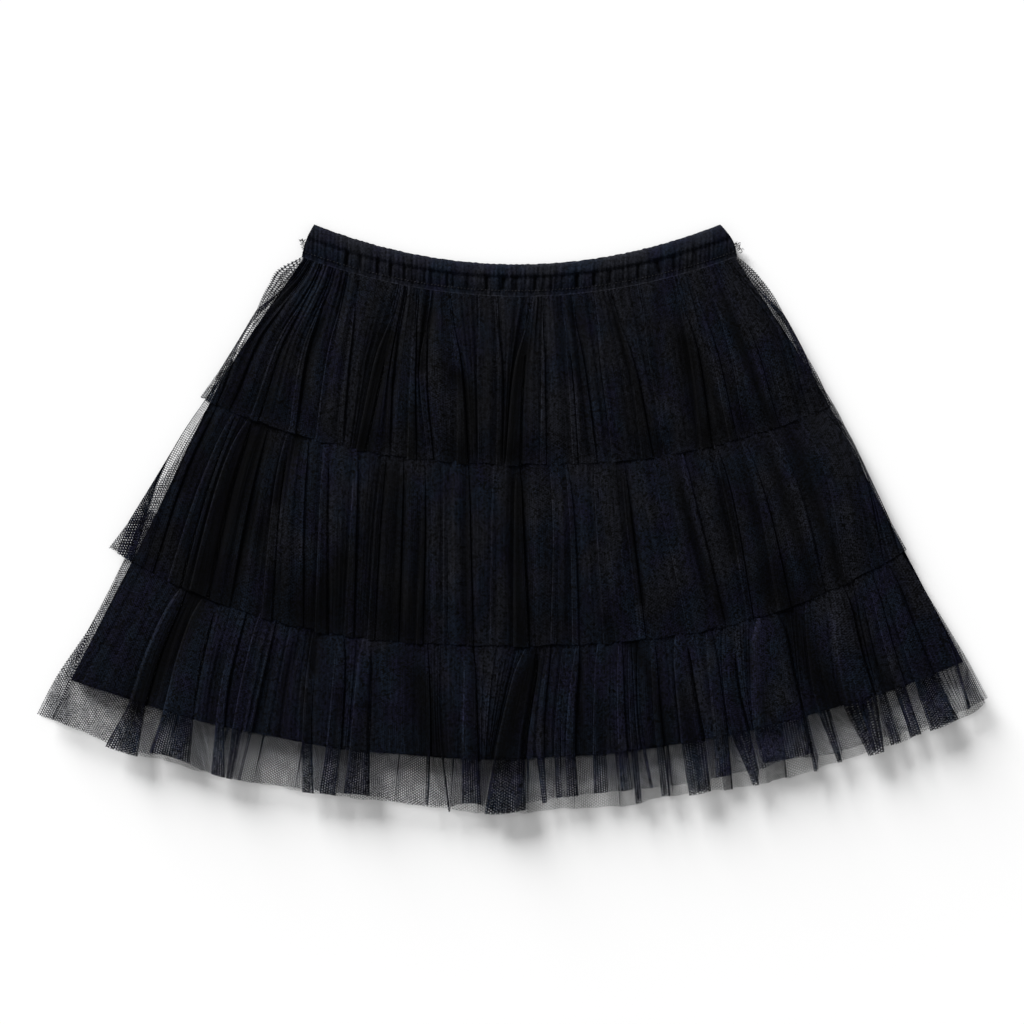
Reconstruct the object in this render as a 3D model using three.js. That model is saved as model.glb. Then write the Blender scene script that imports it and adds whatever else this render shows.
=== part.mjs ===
// A short tulle skirt with three gathered tiers, a knit lining and an elastic waistband, laid flat on its
// back. Millimetres, +Z up. The skirt lies in the XY plane with its waist towards +Y and its front panels on
// top, and the origin is on the floor under the middle of its box.
import * as THREE from 'three';

// Driving sizes of the garment.
const waistWidth = 314;
const skirtWidth = 727.6;
const skirtLength = 453.6;
const bandDepth = 25;

// Thicknesses of the walls, and the gap that parts two layers or two sewn edges.
const netWall = 1.2;
const backWall = 1;
const liningWall = 1;
const bandWall = 2.6;
const seamGap = 0.3;

// Levels of the layers above the floor, from the underside of the skirt up.
const backOverlapLevel = backWall + seamGap;
const liningBackLevel = backOverlapLevel + backWall + seamGap;
const liningFrontLevel = liningBackLevel + liningWall + seamGap;
const frontLevel = liningFrontLevel + liningWall + seamGap;
const sideLevel = liningBackLevel;

// How far a tier's hem covers the sewn top edge of the tier below, and how that lower edge is drawn in.
const tierOverlap = 34;
const topEdgeInset = 2.5;
const overlapRise = 2.7;
const gatherHeightAtSeam = 0.5;

// The front panels start to droop this far outside the lining, over this width.
const liningMargin = 3;
const droopWidth = 8;

// Shares of a panel's depth: where its folds have grown to their full height, and where they start to hang
// lower or higher than the rest of its hem.
const foldGrown = 0.7;
const foldHangsFrom = 0.8;

// Across each panel, a section runs from its left end to its right end and sags to its middle.
// down is the share of the panel's depth, x and y are the ends, and power rounds the corners of the sag.
const skirtHalf = skirtWidth / 2;
const waistHalf = waistWidth / 2;
const skirtTop = skirtLength / 2;

const waistSeam = {
  leftX: -waistHalf - 4.5,
  leftY: 201.5,
  middleY: 170.9,
  rightX: waistHalf + 16,
  rightY: 201.7,
};
const bandFoot = waistSeam.middleY + seamGap;
const bandTop = bandFoot + bandDepth;
const bandRollFoot = bandFoot + bandDepth * 0.53;

const bandSections = [
  { down: 0, leftX: -152, leftY: skirtTop, middleY: bandTop, rightX: 160, rightY: skirtTop, power: 2 },
  { down: 0.45, leftX: -158, leftY: 214.5, middleY: bandRollFoot, rightX: 169, rightY: 215, power: 2 },
  raisedArc({ ...waistSeam, down: 1, power: 2 }, seamGap),
];

const tier1Sections = [
  { ...waistSeam, down: 0, power: 2 },
  { down: 0.08, leftX: -178.5, leftY: 193, middleY: 160.6, rightX: 183.5, rightY: 193.5, power: 2 },
  { down: 0.2, leftX: -187.5, leftY: 180, middleY: 146, rightX: 191.5, rightY: 181, power: 2.1 },
  { down: 0.6, leftX: -209, leftY: 138, middleY: 95, rightX: 216.5, rightY: 138, power: 2.2 },
  { down: 0.85, leftX: -229.5, leftY: 109, middleY: 62, rightX: 235.5, rightY: 104.5, power: 2.25 },
  { down: 1, leftX: -239.5, leftY: 94, middleY: 42.5, rightX: 245, rightY: 87.4, power: 2.3 },
];

const tier2Sections = [
  { down: 0.3, leftX: -239.5, leftY: 84, middleY: 34, rightX: 245, rightY: 82, power: 2.3 },
  { down: 0.65, leftX: -271, leftY: 34, middleY: -26, rightX: 269, rightY: 34, power: 2.5 },
  { down: 1, leftX: -309.5, leftY: -21.2, middleY: -96.4, rightX: 303, rightY: -22.7, power: 2.6 },
];

const tier3Sections = [
  { down: 0.3, leftX: -299, leftY: -34, middleY: -102, rightX: 303, rightY: -32, power: 2.3 },
  { down: 0.6, leftX: -324, leftY: -82, middleY: -152, rightX: 333, rightY: -80, power: 2.1 },
  { down: 0.8, leftX: -346.5, leftY: -119, middleY: -184.4, rightX: 349.3, rightY: -110.2, power: 2 },
  { down: 1, leftX: -skirtHalf, leftY: -147, middleY: -221.6, rightX: skirtHalf, rightY: -139, power: 2 },
];

// The back of the bottom tier hangs lower than its front, most of all on the right.
const tier3BackHem = {
  down: 1,
  leftX: -skirtHalf,
  leftY: -147,
  middleY: -skirtTop,
  rightX: skirtHalf,
  rightY: -141,
  power: 2.25,
};

// How far the bottom tier's two hems rise above the arcs of their sections, across the skirt.
const tier3HemRises = [
  { x: -330, front: 0, back: 1 },
  { x: -200, front: 0, back: 4 },
  { x: -105, front: 4, back: 6 },
  { x: -10, front: 1.5, back: -0.5 },
  { x: 55, front: 8, back: 3 },
  { x: 125, front: 8, back: 5.5 },
  { x: 190, front: 7, back: 1.5 },
  { x: 300, front: 1, back: -1 },
  { x: 345, front: 0, back: -2 },
];

const liningSections = [
  trimmedArc({ ...waistSeam, down: 0, power: 2 }, 0.005),
  { down: 0.33, leftX: -222, leftY: 108, middleY: 52, rightX: 232, rightY: 108, power: 2.1 },
  { down: 0.68, leftX: -282, leftY: -13, middleY: -70, rightX: 293, rightY: -8, power: 2.1 },
  { down: 1, leftX: -338.8, leftY: -122.8, middleY: -183.6, rightX: 346.5, rightY: -109.7, power: 2 },
];

// The folds of each tier, from its left side to its right side. seam, knee and hem are X of the fold's middle
// at the panel's top, at its knee's share of the depth and at its hem. width and height are the fold's size at
// the hem, and drop is how much lower than the rest of the hem it hangs.
const upperKnee = 0.5;
const bottomKnee = 0.8;

const tier1Folds = [
  { seam: -153, knee: -192, hem: -220, width: 7, height: 1.7, drop: 0 },
  { seam: -146, knee: -176, hem: -198, width: 8, height: 2.1, drop: 0.8 },
  { seam: -136, knee: -158, hem: -169, width: 7, height: 1.9, drop: -0.4 },
  { seam: -126, knee: -140, hem: -149, width: 5.5, height: 1.5, drop: 0.6 },
  { seam: -117, knee: -126, hem: -132, width: 5.5, height: 1.7, drop: -0.6 },
  { seam: -86, knee: -102, hem: -116, width: 9.5, height: 2.6, drop: 1.2 },
  { seam: -81, knee: -92, hem: -96, width: 5.5, height: 1.5, drop: 0.2 },
  { seam: -72, knee: -76, hem: -77, width: 9, height: 2.1, drop: 1 },
  { seam: -62, knee: -68, hem: -62, width: 6.5, height: 1.9, drop: -0.4 },
  { seam: -48, knee: -40, hem: -38, width: 10.5, height: 2.4, drop: 1.4 },
  { seam: -26, knee: -25, hem: -24, width: 4.5, height: 1.5, drop: 0 },
  { seam: -12, knee: -9, hem: -10, width: 5.5, height: 1.7, drop: 0.8 },
  { seam: 14, knee: 5, hem: 1, width: 14, height: 2.7, drop: 1.2 },
  { seam: 24, knee: 24, hem: 24, width: 5.5, height: 1.5, drop: -0.3 },
  { seam: 38, knee: 45, hem: 49, width: 5.5, height: 1.6, drop: 0.4 },
  { seam: 46, knee: 55, hem: 63, width: 6, height: 1.9, drop: -0.5 },
  { seam: 62, knee: 71, hem: 80, width: 6, height: 1.7, drop: 0.6 },
  { seam: 75, knee: 93, hem: 104, width: 10.5, height: 2.3, drop: 1 },
  { seam: 97, knee: 108, hem: 120, width: 7, height: 1.7, drop: -0.6 },
  { seam: 126, knee: 140, hem: 149, width: 10.5, height: 2.6, drop: 0.8 },
  { seam: 137, knee: 155, hem: 170, width: 7, height: 1.9, drop: 0 },
  { seam: 147, knee: 168, hem: 182, width: 6, height: 1.7, drop: -0.4 },
  { seam: 157, knee: 183, hem: 203, width: 6, height: 2.1, drop: 0.6 },
  { seam: 165, knee: 205, hem: 226, width: 6, height: 1.5, drop: 0 },
];

const tier2Folds = [
  { seam: -207, knee: -246, hem: -279, width: 8, height: 1.5, drop: 0 },
  { seam: -196, knee: -229, hem: -259, width: 12.5, height: 2.1, drop: 0.6 },
  { seam: -185, knee: -216, hem: -240, width: 17.5, height: 2.7, drop: -0.6 },
  { seam: -175, knee: -199, hem: -219, width: 6, height: 1.7, drop: 0.4 },
  { seam: -163, knee: -179, hem: -188, width: 10.5, height: 2.4, drop: 1 },
  { seam: -151, knee: -161, hem: -163, width: 7, height: 1.9, drop: -0.8 },
  { seam: -140, knee: -144, hem: -146, width: 12.5, height: 2.4, drop: 1.4 },
  { seam: -117, knee: -121, hem: -125, width: 9, height: 2.1, drop: 0.4 },
  { seam: -92, knee: -102, hem: -108, width: 7, height: 1.9, drop: 0.8 },
  { seam: -82, knee: -86, hem: -90, width: 7, height: 1.5, drop: 0 },
  { seam: -68, knee: -68, hem: -71, width: 6, height: 2.2, drop: 1 },
  { seam: -52, knee: -51, hem: -51, width: 4.5, height: 1.4, drop: -0.3 },
  { seam: -34, knee: -34, hem: -32, width: 5.5, height: 1.8, drop: 0.4 },
  { seam: -13, knee: -14, hem: -15, width: 5.5, height: 1.5, drop: 0 },
  { seam: 5, knee: 5, hem: 7, width: 14, height: 2.7, drop: 1.4 },
  { seam: 25, knee: 33, hem: 32, width: 6, height: 1.5, drop: -0.6 },
  { seam: 37, knee: 46, hem: 49, width: 6, height: 1.7, drop: 0.3 },
  { seam: 62, knee: 66, hem: 74, width: 9, height: 1.9, drop: 0.8 },
  { seam: 82, knee: 89, hem: 100, width: 6, height: 2.1, drop: -0.9 },
  { seam: 102, knee: 116, hem: 137, width: 5.5, height: 1.5, drop: 0.4 },
  { seam: 123, knee: 139, hem: 161, width: 7, height: 2.2, drop: 0.8 },
  { seam: 145, knee: 166, hem: 183, width: 6.5, height: 1.9, drop: -0.4 },
  { seam: 164, knee: 189, hem: 209, width: 12.5, height: 2.4, drop: 0.6 },
  { seam: 179, knee: 214, hem: 237, width: 8, height: 2.1, drop: 0 },
  { seam: 197, knee: 239, hem: 259, width: 7, height: 1.9, drop: 0.8 },
  { seam: 210, knee: 260, hem: 283, width: 6, height: 1.5, drop: 0 },
];

const tier3Folds = [
  { seam: -231, knee: -288, hem: -299, width: 28.5, height: 1.9, drop: 3 },
  { seam: -219, knee: -256, hem: -262, width: 35.5, height: 2.2, drop: -1 },
  { seam: -192, knee: -224, hem: -225, width: 12.5, height: 2.1, drop: 0.5 },
  { seam: -182, knee: -211, hem: -216.5, width: 8, height: 1.9, drop: 0.6 },
  { seam: -171, knee: -201, hem: -209, width: 4, height: 1.5, drop: 0 },
  { seam: -146, knee: -157, hem: -156, width: 10.5, height: 2.2, drop: 3 },
  { seam: -129, knee: -137, hem: -141, width: 15, height: 2.1, drop: 2.6 },
  { seam: -109, knee: -117, hem: -119, width: 23, height: 2.4, drop: 0 },
  { seam: -67, knee: -64, hem: -65, width: 4, height: 1.5, drop: 0.5 },
  { seam: -55, knee: -53, hem: -48, width: 4, height: 1.5, drop: 5 },
  { seam: -32, knee: -32, hem: -31, width: 17, height: 2.2, drop: -1 },
  { seam: 25, knee: -2, hem: -5, width: 37, height: 2.8, drop: 6 },
  { seam: 35, knee: 22, hem: 25, width: 6.5, height: 1.9, drop: 2.6 },
  { seam: 45, knee: 35, hem: 36, width: 5.5, height: 1.7, drop: 0 },
  { seam: 55, knee: 45, hem: 46.5, width: 10.5, height: 2.1, drop: 0 },
  { seam: 68, knee: 67, hem: 68, width: 12.5, height: 1.9, drop: 0 },
  { seam: 83, knee: 85, hem: 88, width: 10.5, height: 2.4, drop: 0.4 },
  { seam: 89, knee: 94, hem: 97, width: 6, height: 2.1, drop: 11 },
  { seam: 97, knee: 101, hem: 107, width: 4, height: 1.5, drop: 0 },
  { seam: 106, knee: 114, hem: 118, width: 8, height: 1.9, drop: 8 },
  { seam: 123, knee: 139, hem: 144, width: 19.5, height: 2.6, drop: 10 },
  { seam: 145, knee: 160, hem: 162, width: 14, height: 2.1, drop: 0 },
  { seam: 162, knee: 176, hem: 187, width: 15, height: 2.2, drop: 12 },
  { seam: 192, knee: 205, hem: 211, width: 43.5, height: 2.8, drop: -4 },
  { seam: 213, knee: 226, hem: 233, width: 4, height: 1.7, drop: 11 },
  { seam: 222, knee: 240, hem: 251, width: 9, height: 1.9, drop: 9 },
  { seam: 242, knee: 268, hem: 279, width: 26.5, height: 2.6, drop: 10.5 },
  { seam: 254, knee: 284.5, hem: 294, width: 9, height: 2.1, drop: 7 },
  { seam: 262, knee: 299, hem: 309, width: 10.5, height: 1.9, drop: 5 },
  { seam: 270, knee: 318, hem: 331, width: 25.5, height: 2.4, drop: 5 },
  { seam: 275, knee: 342, hem: 350, width: 4, height: 1.5, drop: 0.6 },
];

// Gathers that the elastic draws into the front of its casing.
const bandGathers = 56;
const bandGatherHeight = 1;
const bandRollHeight = 1.2;

// The casing's height down its depth, as a share of the roll's height.
const bandRoll = [
  { down: 0, roll: 0 },
  { down: 0.12, roll: 0.9 },
  { down: 0.4, roll: 1 },
  { down: 0.7, roll: 0.5 },
  { down: 1, roll: 0.2 },
];

// Outline of a layer at a share u across and v down: the arcs of the two nearest sections, blended.
function pointOnPanel(sections, u, v) {
  let lower = 1;
  while (lower < sections.length - 1 && sections[lower].down < v) {
    lower += 1;
  }
  const a = sections[lower - 1];
  const b = sections[lower];
  const blend = (v - a.down) / (b.down - a.down);
  const [ax, ay] = pointOnArc(a, u);
  const [bx, by] = pointOnArc(b, u);
  return [THREE.MathUtils.lerp(ax, bx, blend), THREE.MathUtils.lerp(ay, by, blend)];
}

function pointOnArc(section, u) {
  const x = THREE.MathUtils.lerp(section.leftX, section.rightX, u);
  const chordY = THREE.MathUtils.lerp(section.leftY, section.rightY, u);
  const sag = (section.leftY + section.rightY) / 2 - section.middleY;
  return [x, chordY - sag * (1 - Math.abs(2 * u - 1) ** section.power)];
}

// The same arc with a share of its width trimmed off each end.
function trimmedArc(section, share) {
  const [leftX, leftY] = pointOnArc(section, share);
  const [rightX, rightY] = pointOnArc(section, 1 - share);
  return { ...section, leftX, leftY, rightX, rightY };
}

// The same arc moved towards the waist.
function raisedArc(section, rise) {
  const { leftY, middleY, rightY } = section;
  return { ...section, leftY: leftY + rise, middleY: middleY + rise, rightY: rightY + rise };
}

// A tier's hidden top edge runs along the tier above, a little in from its sides.
function edgeUnder(upperSections, share) {
  const left = pointOnPanel(upperSections, 0, share);
  const middle = pointOnPanel(upperSections, 0.5, share);
  const right = pointOnPanel(upperSections, 1, share);
  return {
    down: 0,
    leftX: left[0] + topEdgeInset,
    leftY: left[1],
    middleY: middle[1],
    rightX: right[0] - topEdgeInset,
    rightY: right[1],
    power: upperSections.at(-1).power,
  };
}

function depthAtMiddle(sections) {
  return sections[0].middleY - sections.at(-1).middleY;
}

function overlapShare(sections) {
  return 1 - tierOverlap / depthAtMiddle(sections);
}

// How far a point lies outside the lining, measured sideways from its edge or down from its hem.
function distanceOutsideLining(x, y) {
  const hem = liningSections.at(-1);
  const u = THREE.MathUtils.clamp((x - hem.leftX) / (hem.rightX - hem.leftX), 0, 1);
  const belowHem = pointOnArc(hem, u)[1] - y;
  return Math.max(sideEdgeX('left', y) - x, x - sideEdgeX('right', y), belowHem);
}

function sideEdgeX(side, y) {
  let lower = 1;
  while (lower < liningSections.length - 1 && liningSections[lower][`${side}Y`] > y) {
    lower += 1;
  }
  const a = liningSections[lower - 1];
  const b = liningSections[lower];
  const share = (y - a[`${side}Y`]) / (b[`${side}Y`] - a[`${side}Y`]);
  return THREE.MathUtils.lerp(a[`${side}X`], b[`${side}X`], share);
}

// Front panels lie on the lining, and droop past its edges onto the back panels.
function frontBase(x, y) {
  const drop = THREE.MathUtils.clamp((distanceOutsideLining(x, y) - liningMargin) / droopWidth, 0, 1);
  return THREE.MathUtils.lerp(frontLevel, sideLevel, drop);
}

// The share across a panel, at a share down it, where it passes the lining's side.
function shareAtLiningSide(sections, side, v) {
  const [leftX] = pointOnPanel(sections, 0, v);
  const [rightX] = pointOnPanel(sections, 1, v);
  const outward = side === 'left' ? -1 : 1;
  let u = side === 'left' ? 0 : 1;
  for (let pass = 0; pass < 4; pass += 1) {
    const edgeX = sideEdgeX(side, pointOnPanel(sections, u, v)[1]) + outward * liningMargin * 0.8;
    u = THREE.MathUtils.clamp((edgeX - leftX) / (rightX - leftX), 0.002, 0.998);
  }
  return u;
}

// The four columns of a fold: the foot and the shoulder of each of its sides.
const foldShape = [
  { across: -1, raised: 0 },
  { across: -0.5, raised: 1 },
  { across: 0.5, raised: 1 },
  { across: 1, raised: 0 },
];

// Columns of a pleated panel: its own edges, the lining's two sides and its folds.
function foldColumns(folds) {
  const columns = [{ share: 0 }, { side: 'left' }];
  folds.forEach((fold, order) => {
    for (const shape of foldShape) {
      columns.push({ ...fold, ...shape, order });
    }
  });
  columns.push({ side: 'right' }, { share: 1 });
  return columns;
}

// X of a fold's middle at a share down the panel.
function foldMiddle(fold, knee, v) {
  if (v < knee) {
    return THREE.MathUtils.lerp(fold.seam, fold.knee, v / knee);
  }
  return THREE.MathUtils.lerp(fold.knee, fold.hem, (v - knee) / (1 - knee));
}

// A fold's half width is at most this share of the room to its neighbours, and it is narrower at the seam.
const foldRoom = 0.46;
const seamWidthShare = 0.45;

function foldHalf(middles, order, width, v) {
  const room = Math.min(middles[order + 1] - middles[order], middles[order + 2] - middles[order + 1]);
  return Math.min(width / 2 * THREE.MathUtils.lerp(seamWidthShare, 1, v), room * foldRoom);
}

// A wall of the given thickness whose underside follows place(row, column), closed all round its edge.
function wallGeometry(rows, columns, thickness, place) {
  const positions = [];
  const index = [];
  for (const raised of [1, 0]) {
    for (let row = 0; row <= rows; row += 1) {
      for (let column = 0; column <= columns; column += 1) {
        const point = place(row, column);
        positions.push(point.x, point.y, raised ? point.top ?? point.z + thickness : point.z);
      }
    }
  }
  const layer = (rows + 1) * (columns + 1);
  const at = (row, column, under) => row * (columns + 1) + column + (under ? layer : 0);
  for (let row = 0; row < rows; row += 1) {
    for (let column = 0; column < columns; column += 1) {
      index.push(at(row, column), at(row + 1, column), at(row + 1, column + 1));
      index.push(at(row, column), at(row + 1, column + 1), at(row, column + 1));
      index.push(at(row, column, true), at(row + 1, column + 1, true), at(row + 1, column, true));
      index.push(at(row, column, true), at(row, column + 1, true), at(row + 1, column + 1, true));
    }
  }
  const closeEdge = (from, to) => {
    index.push(at(...from), at(...to), at(...to, true));
    index.push(at(...from), at(...to, true), at(...from, true));
  };
  for (let column = 0; column < columns; column += 1) {
    closeEdge([0, column], [0, column + 1]);
    closeEdge([rows, column + 1], [rows, column]);
  }
  for (let row = 0; row < rows; row += 1) {
    closeEdge([row + 1, 0], [row, 0]);
    closeEdge([row, columns], [row + 1, columns]);
  }
  const geometry = new THREE.BufferGeometry();
  geometry.setAttribute('position', new THREE.Float32BufferAttribute(positions, 3));
  geometry.setIndex(index);
  geometry.computeVertexNormals();
  return geometry;
}

// How far a hem rises above its section's arc at X, for one side of the skirt.
function hemRise(side, x) {
  const last = tier3HemRises.length - 1;
  let next = 1;
  while (next < last && tier3HemRises[next].x < x) {
    next += 1;
  }
  const a = tier3HemRises[next - 1];
  const b = tier3HemRises[next];
  const share = THREE.MathUtils.clamp((x - a.x) / (b.x - a.x), 0, 1);
  return THREE.MathUtils.lerp(a[side], b[side], share);
}

// Rows of a front tier, as shares of its depth. The upper tiers rise over the sewn edge of the tier beneath
// them just above its end, and the bottom one has a row at the lining's hem.
const topRows = [0, 0.08, 0.2, 0.42];
const riseStart = 0.1;
const riseEnd = 0.01;
const bottomRows = [0, 0.15, 0.38, 0.6, 0.805, 0.88, 1];

// A gathered front tier, whose folds fade in from its sewn edge.
function frontTier(sections, folds, knee, coversNextTier) {
  const columns = foldColumns(folds);
  const share = overlapShare(sections);
  const rowShares = coversNextTier ? [...topRows, share - riseStart, share - riseEnd, 0.88, 1] : bottomRows;
  const place = (row, column) => {
    const v = rowShares[row];
    const u = shareAcross(sections, folds, knee, columns[column], v);
    const [x, arcY] = pointOnPanel(sections, u, v);
    const { raised = 0, height = 0, drop = 0 } = columns[column];
    const rise = coversNextTier ? 0 : hemRise('front', x) * THREE.MathUtils.smoothstep(v, foldHangsFrom, 1);
    const y = arcY + rise - raised * drop * THREE.MathUtils.smoothstep(v, foldHangsFrom, 1);
    const start = Math.min(height, gatherHeightAtSeam);
    const grown = THREE.MathUtils.lerp(start, height, THREE.MathUtils.smoothstep(v, 0, foldGrown));
    const lapped = THREE.MathUtils.smoothstep(v, share - riseStart, share - riseEnd);
    const lap = coversNextTier ? overlapRise * lapped : 0;
    return { x, y, z: frontBase(x, arcY) + lap + raised * grown };
  };
  return wallGeometry(rowShares.length - 1, columns.length - 1, netWall, place);
}

// The share across a panel of one of its columns, at a share down it.
function shareAcross(sections, folds, knee, column, v) {
  if (column.side) {
    return shareAtLiningSide(sections, column.side, v);
  }
  if (column.share !== undefined) {
    return column.share;
  }
  const [leftX] = pointOnPanel(sections, 0, v);
  const [rightX] = pointOnPanel(sections, 1, v);
  const widthAcross = rightX - leftX;
  const liningLeft = leftX + widthAcross * shareAtLiningSide(sections, 'left', v);
  const liningRight = leftX + widthAcross * shareAtLiningSide(sections, 'right', v);
  const middles = [liningLeft, ...folds.map((fold) => foldMiddle(fold, knee, v)), liningRight];
  const half = foldHalf(middles, column.order, column.width, v);
  return (middles[column.order + 1] + column.across * half - leftX) / widthAcross;
}

// A back tier lies flat on the floor, its sewn edge lifted onto the hem of the tier above it.
const backColumns = 24;
const flatRows = [0, 0.08, 0.2, 0.42, 0.6, 0.85, 1];
const liftEnd = 0.08;

function backTier(sections, liftedTo, hemSide) {
  const rowShares = liftedTo > 0 ? [0, liftedTo, liftedTo + liftEnd, 0.6, 0.8, 0.9, 1] : flatRows;
  const place = (row, column) => {
    const v = rowShares[row];
    const [x, arcY] = pointOnPanel(sections, column / backColumns, v);
    const rise = hemSide ? hemRise(hemSide, x) * THREE.MathUtils.smoothstep(v, foldHangsFrom, 1) : 0;
    return { x, y: arcY + rise, z: liftedTo > 0 && v <= liftedTo ? backOverlapLevel : 0 };
  };
  return wallGeometry(rowShares.length - 1, backColumns, backWall, place);
}

const liningColumns = 24;
const liningRows = [0, 0.15, 0.33, 0.5, 0.68, 1];

function liningPanel(level) {
  const place = (row, column) => {
    const [x, y] = pointOnPanel(liningSections, column / liningColumns, liningRows[row]);
    return { x, y, z: level };
  };
  return wallGeometry(liningRows.length - 1, liningColumns, liningWall, place);
}

// The elastic's casing: a roll along the waist and, on the front, gathers drawn up by the elastic.
const plainBandColumns = 24;

function waistbandHalf(level, gathers) {
  const columns = gathers > 0 ? gathers * 2 : plainBandColumns;
  const place = (row, column) => {
    const { down, roll } = bandRoll[row];
    const [x, y] = pointOnPanel(bandSections, column / columns, down);
    const gather = gathers > 0 && column % 2 === 1 ? bandGatherHeight : 0;
    const top = level + bandWall + (gathers > 0 ? roll * bandRollHeight : 0) + gather;
    return { x, y, z: level, top };
  };
  return wallGeometry(bandRoll.length - 1, columns, bandWall, place);
}

function cloth(color) {
  return new THREE.MeshStandardMaterial({ color, roughness: 0.9, metalness: 0, side: THREE.DoubleSide });
}

function addPiece(group, name, geometry, color) {
  const piece = new THREE.Mesh(geometry, cloth(color));
  piece.name = name;
  group.add(piece);
}

const netColor = 0x14161f;
const liningColor = 0x0d0e16;

const tier2All = [edgeUnder(tier1Sections, overlapShare(tier1Sections)), ...tier2Sections];
const tier3All = [edgeUnder(tier2All, overlapShare(tier2All)), ...tier3Sections];
const tier3BackAll = [...tier3All.slice(0, -1), tier3BackHem];

// The share of each back tier's depth that lies on the tier above it.
const tier2Lifted = 0.31;
const tier3Lifted = 0.34;

const skirt = new THREE.Group();
skirt.name = 'tulle_skirt';

addPiece(skirt, 'waistband_back', waistbandHalf(0, 0), netColor);
addPiece(skirt, 'waistband_front', waistbandHalf(bandWall + seamGap, bandGathers), netColor);
addPiece(skirt, 'tier_1_back', backTier(tier1Sections, 0), netColor);
addPiece(skirt, 'tier_2_back', backTier(tier2All, tier2Lifted), netColor);
addPiece(skirt, 'tier_3_back', backTier(tier3BackAll, tier3Lifted, 'back'), netColor);
addPiece(skirt, 'lining_back', liningPanel(liningBackLevel), liningColor);
addPiece(skirt, 'lining_front', liningPanel(liningFrontLevel), liningColor);
addPiece(skirt, 'tier_3_front', frontTier(tier3All, tier3Folds, bottomKnee, false), netColor);
addPiece(skirt, 'tier_2_front', frontTier(tier2All, tier2Folds, upperKnee, true), netColor);
addPiece(skirt, 'tier_1_front', frontTier(tier1Sections, tier1Folds, upperKnee, true), netColor);

export default skirt;
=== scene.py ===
import math
import random

import bpy
import numpy as np
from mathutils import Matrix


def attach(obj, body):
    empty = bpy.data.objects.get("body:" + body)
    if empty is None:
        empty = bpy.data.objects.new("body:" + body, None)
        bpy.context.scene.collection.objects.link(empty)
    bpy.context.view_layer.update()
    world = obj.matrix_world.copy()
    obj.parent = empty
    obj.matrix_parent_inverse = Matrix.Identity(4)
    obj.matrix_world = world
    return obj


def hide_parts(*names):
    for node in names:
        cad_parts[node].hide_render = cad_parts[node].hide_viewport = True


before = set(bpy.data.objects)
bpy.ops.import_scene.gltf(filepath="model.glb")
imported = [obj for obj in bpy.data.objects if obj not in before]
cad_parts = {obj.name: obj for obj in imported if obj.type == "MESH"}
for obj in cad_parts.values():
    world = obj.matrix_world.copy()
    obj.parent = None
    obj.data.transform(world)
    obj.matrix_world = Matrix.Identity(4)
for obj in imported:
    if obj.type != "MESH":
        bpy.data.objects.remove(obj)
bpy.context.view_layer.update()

# The skirt's outlines are in millimetres, in the frame's own axes: +X to the right, +Y to the waist, +Z up.
MM = 0.001

# Levels of the layers above the floor.
BACK_NET_LEVEL = 0.35
BACK_OVERLAP_RISE = 1.1
BACK_LINING_LEVEL = 2.7
FRONT_LINING_LEVEL = 4.0
LINING_THICKNESS = 0.5
FRONT_NET_LEVEL = 5.2
SIDE_NET_LEVEL = 4.7
DROOP_START = 0.5
DROOP_END = 10.0
TIER_OVERLAP = 34.0
TOP_EDGE_INSET = 2.5
LAP_RISE = 0.6
HEM_FLARE = 4.6
# The share of a lower tier's length that the tier above covers and presses flat.
COVERED = 0.2
# How much flatter a tier's hem lies on the tier below than the rest of it.
SETTLED = 0.6

# The camera looks straight down, and its frame is this wide at the floor.
FRAME_WIDTH = 788.5
FRAME_CENTRE_Y = 5.8
LENS = 80.0
SENSOR = 36.0

# A section across a panel: its share of the way down, its left end, its middle's height, its right end and
# the power that rounds the corners of its sag.
WAIST_SEAM = (0, -161.5, 201.5, 170.9, 173, 201.7, 2)

TIER_1 = (
    WAIST_SEAM,
    (0.08, -178.5, 193, 160.6, 183.5, 193.5, 2),
    (0.2, -187, 180, 146, 194.5, 181, 2.1),
    (0.6, -206.5, 138, 95, 218.5, 138, 2.2),
    (0.85, -228.5, 109, 62, 238, 104.5, 2.25),
    (1, -239.5, 94, 42.5, 245, 87.4, 2.3),
)
TIER_2_LOWER = (
    (0.3, -236, 84, 34, 250.5, 82, 2.3),
    (0.65, -267, 34, -26, 271, 34, 2.5),
    (1, -309.5, -21.2, -96.4, 303, -22.7, 2.6),
)
TIER_3_LOWER = (
    (0.3, -299, -34, -102, 303, -32, 2.3),
    (0.6, -324, -82, -152, 333, -80, 2.1),
    (0.8, -349.5, -119, -184.4, 351, -110.2, 2),
    (1, -363.8, -147, -221.6, 364.3, -138, 2),
)

# The bottom tier's hems, as X and Y of points along them. On the right, the front one lies higher.
FRONT_HEM = (
    (-363.8, -148), (-345, -156), (-326, -163), (-310, -171), (-290, -178), (-271, -180),
    (-243, -189), (-225, -196), (-197, -201), (-169, -205), (-142, -208), (-114, -211), (-86, -216),
    (-58, -219), (-31, -218), (-9, -220), (14, -216), (52, -211), (83, -207.5), (114, -204.5),
    (145, -200), (172, -194.5), (200, -189), (228, -183), (256, -176), (283, -168), (311, -160),
    (330, -153.5), (348, -145), (364.3, -136),
)
BACK_HEM = (
    (-363.8, -150), (-345, -158), (-326, -164.5), (-308, -172), (-290, -180), (-271, -185),
    (-253, -190), (-234, -195), (-216, -199), (-197, -203), (-179, -206), (-142, -212),
    (-105, -216), (-68, -220.5), (-31, -225), (-9, -226), (12, -225.5), (37, -223), (62, -221.5),
    (89, -220.5), (108, -215.5), (126, -212), (172, -207), (191, -203.5), (209, -199),
    (228, -194.5), (246, -188), (265, -182), (283, -176), (302, -170), (320, -162), (339, -155),
    (357, -147.5), (364.3, -141),
)
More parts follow.
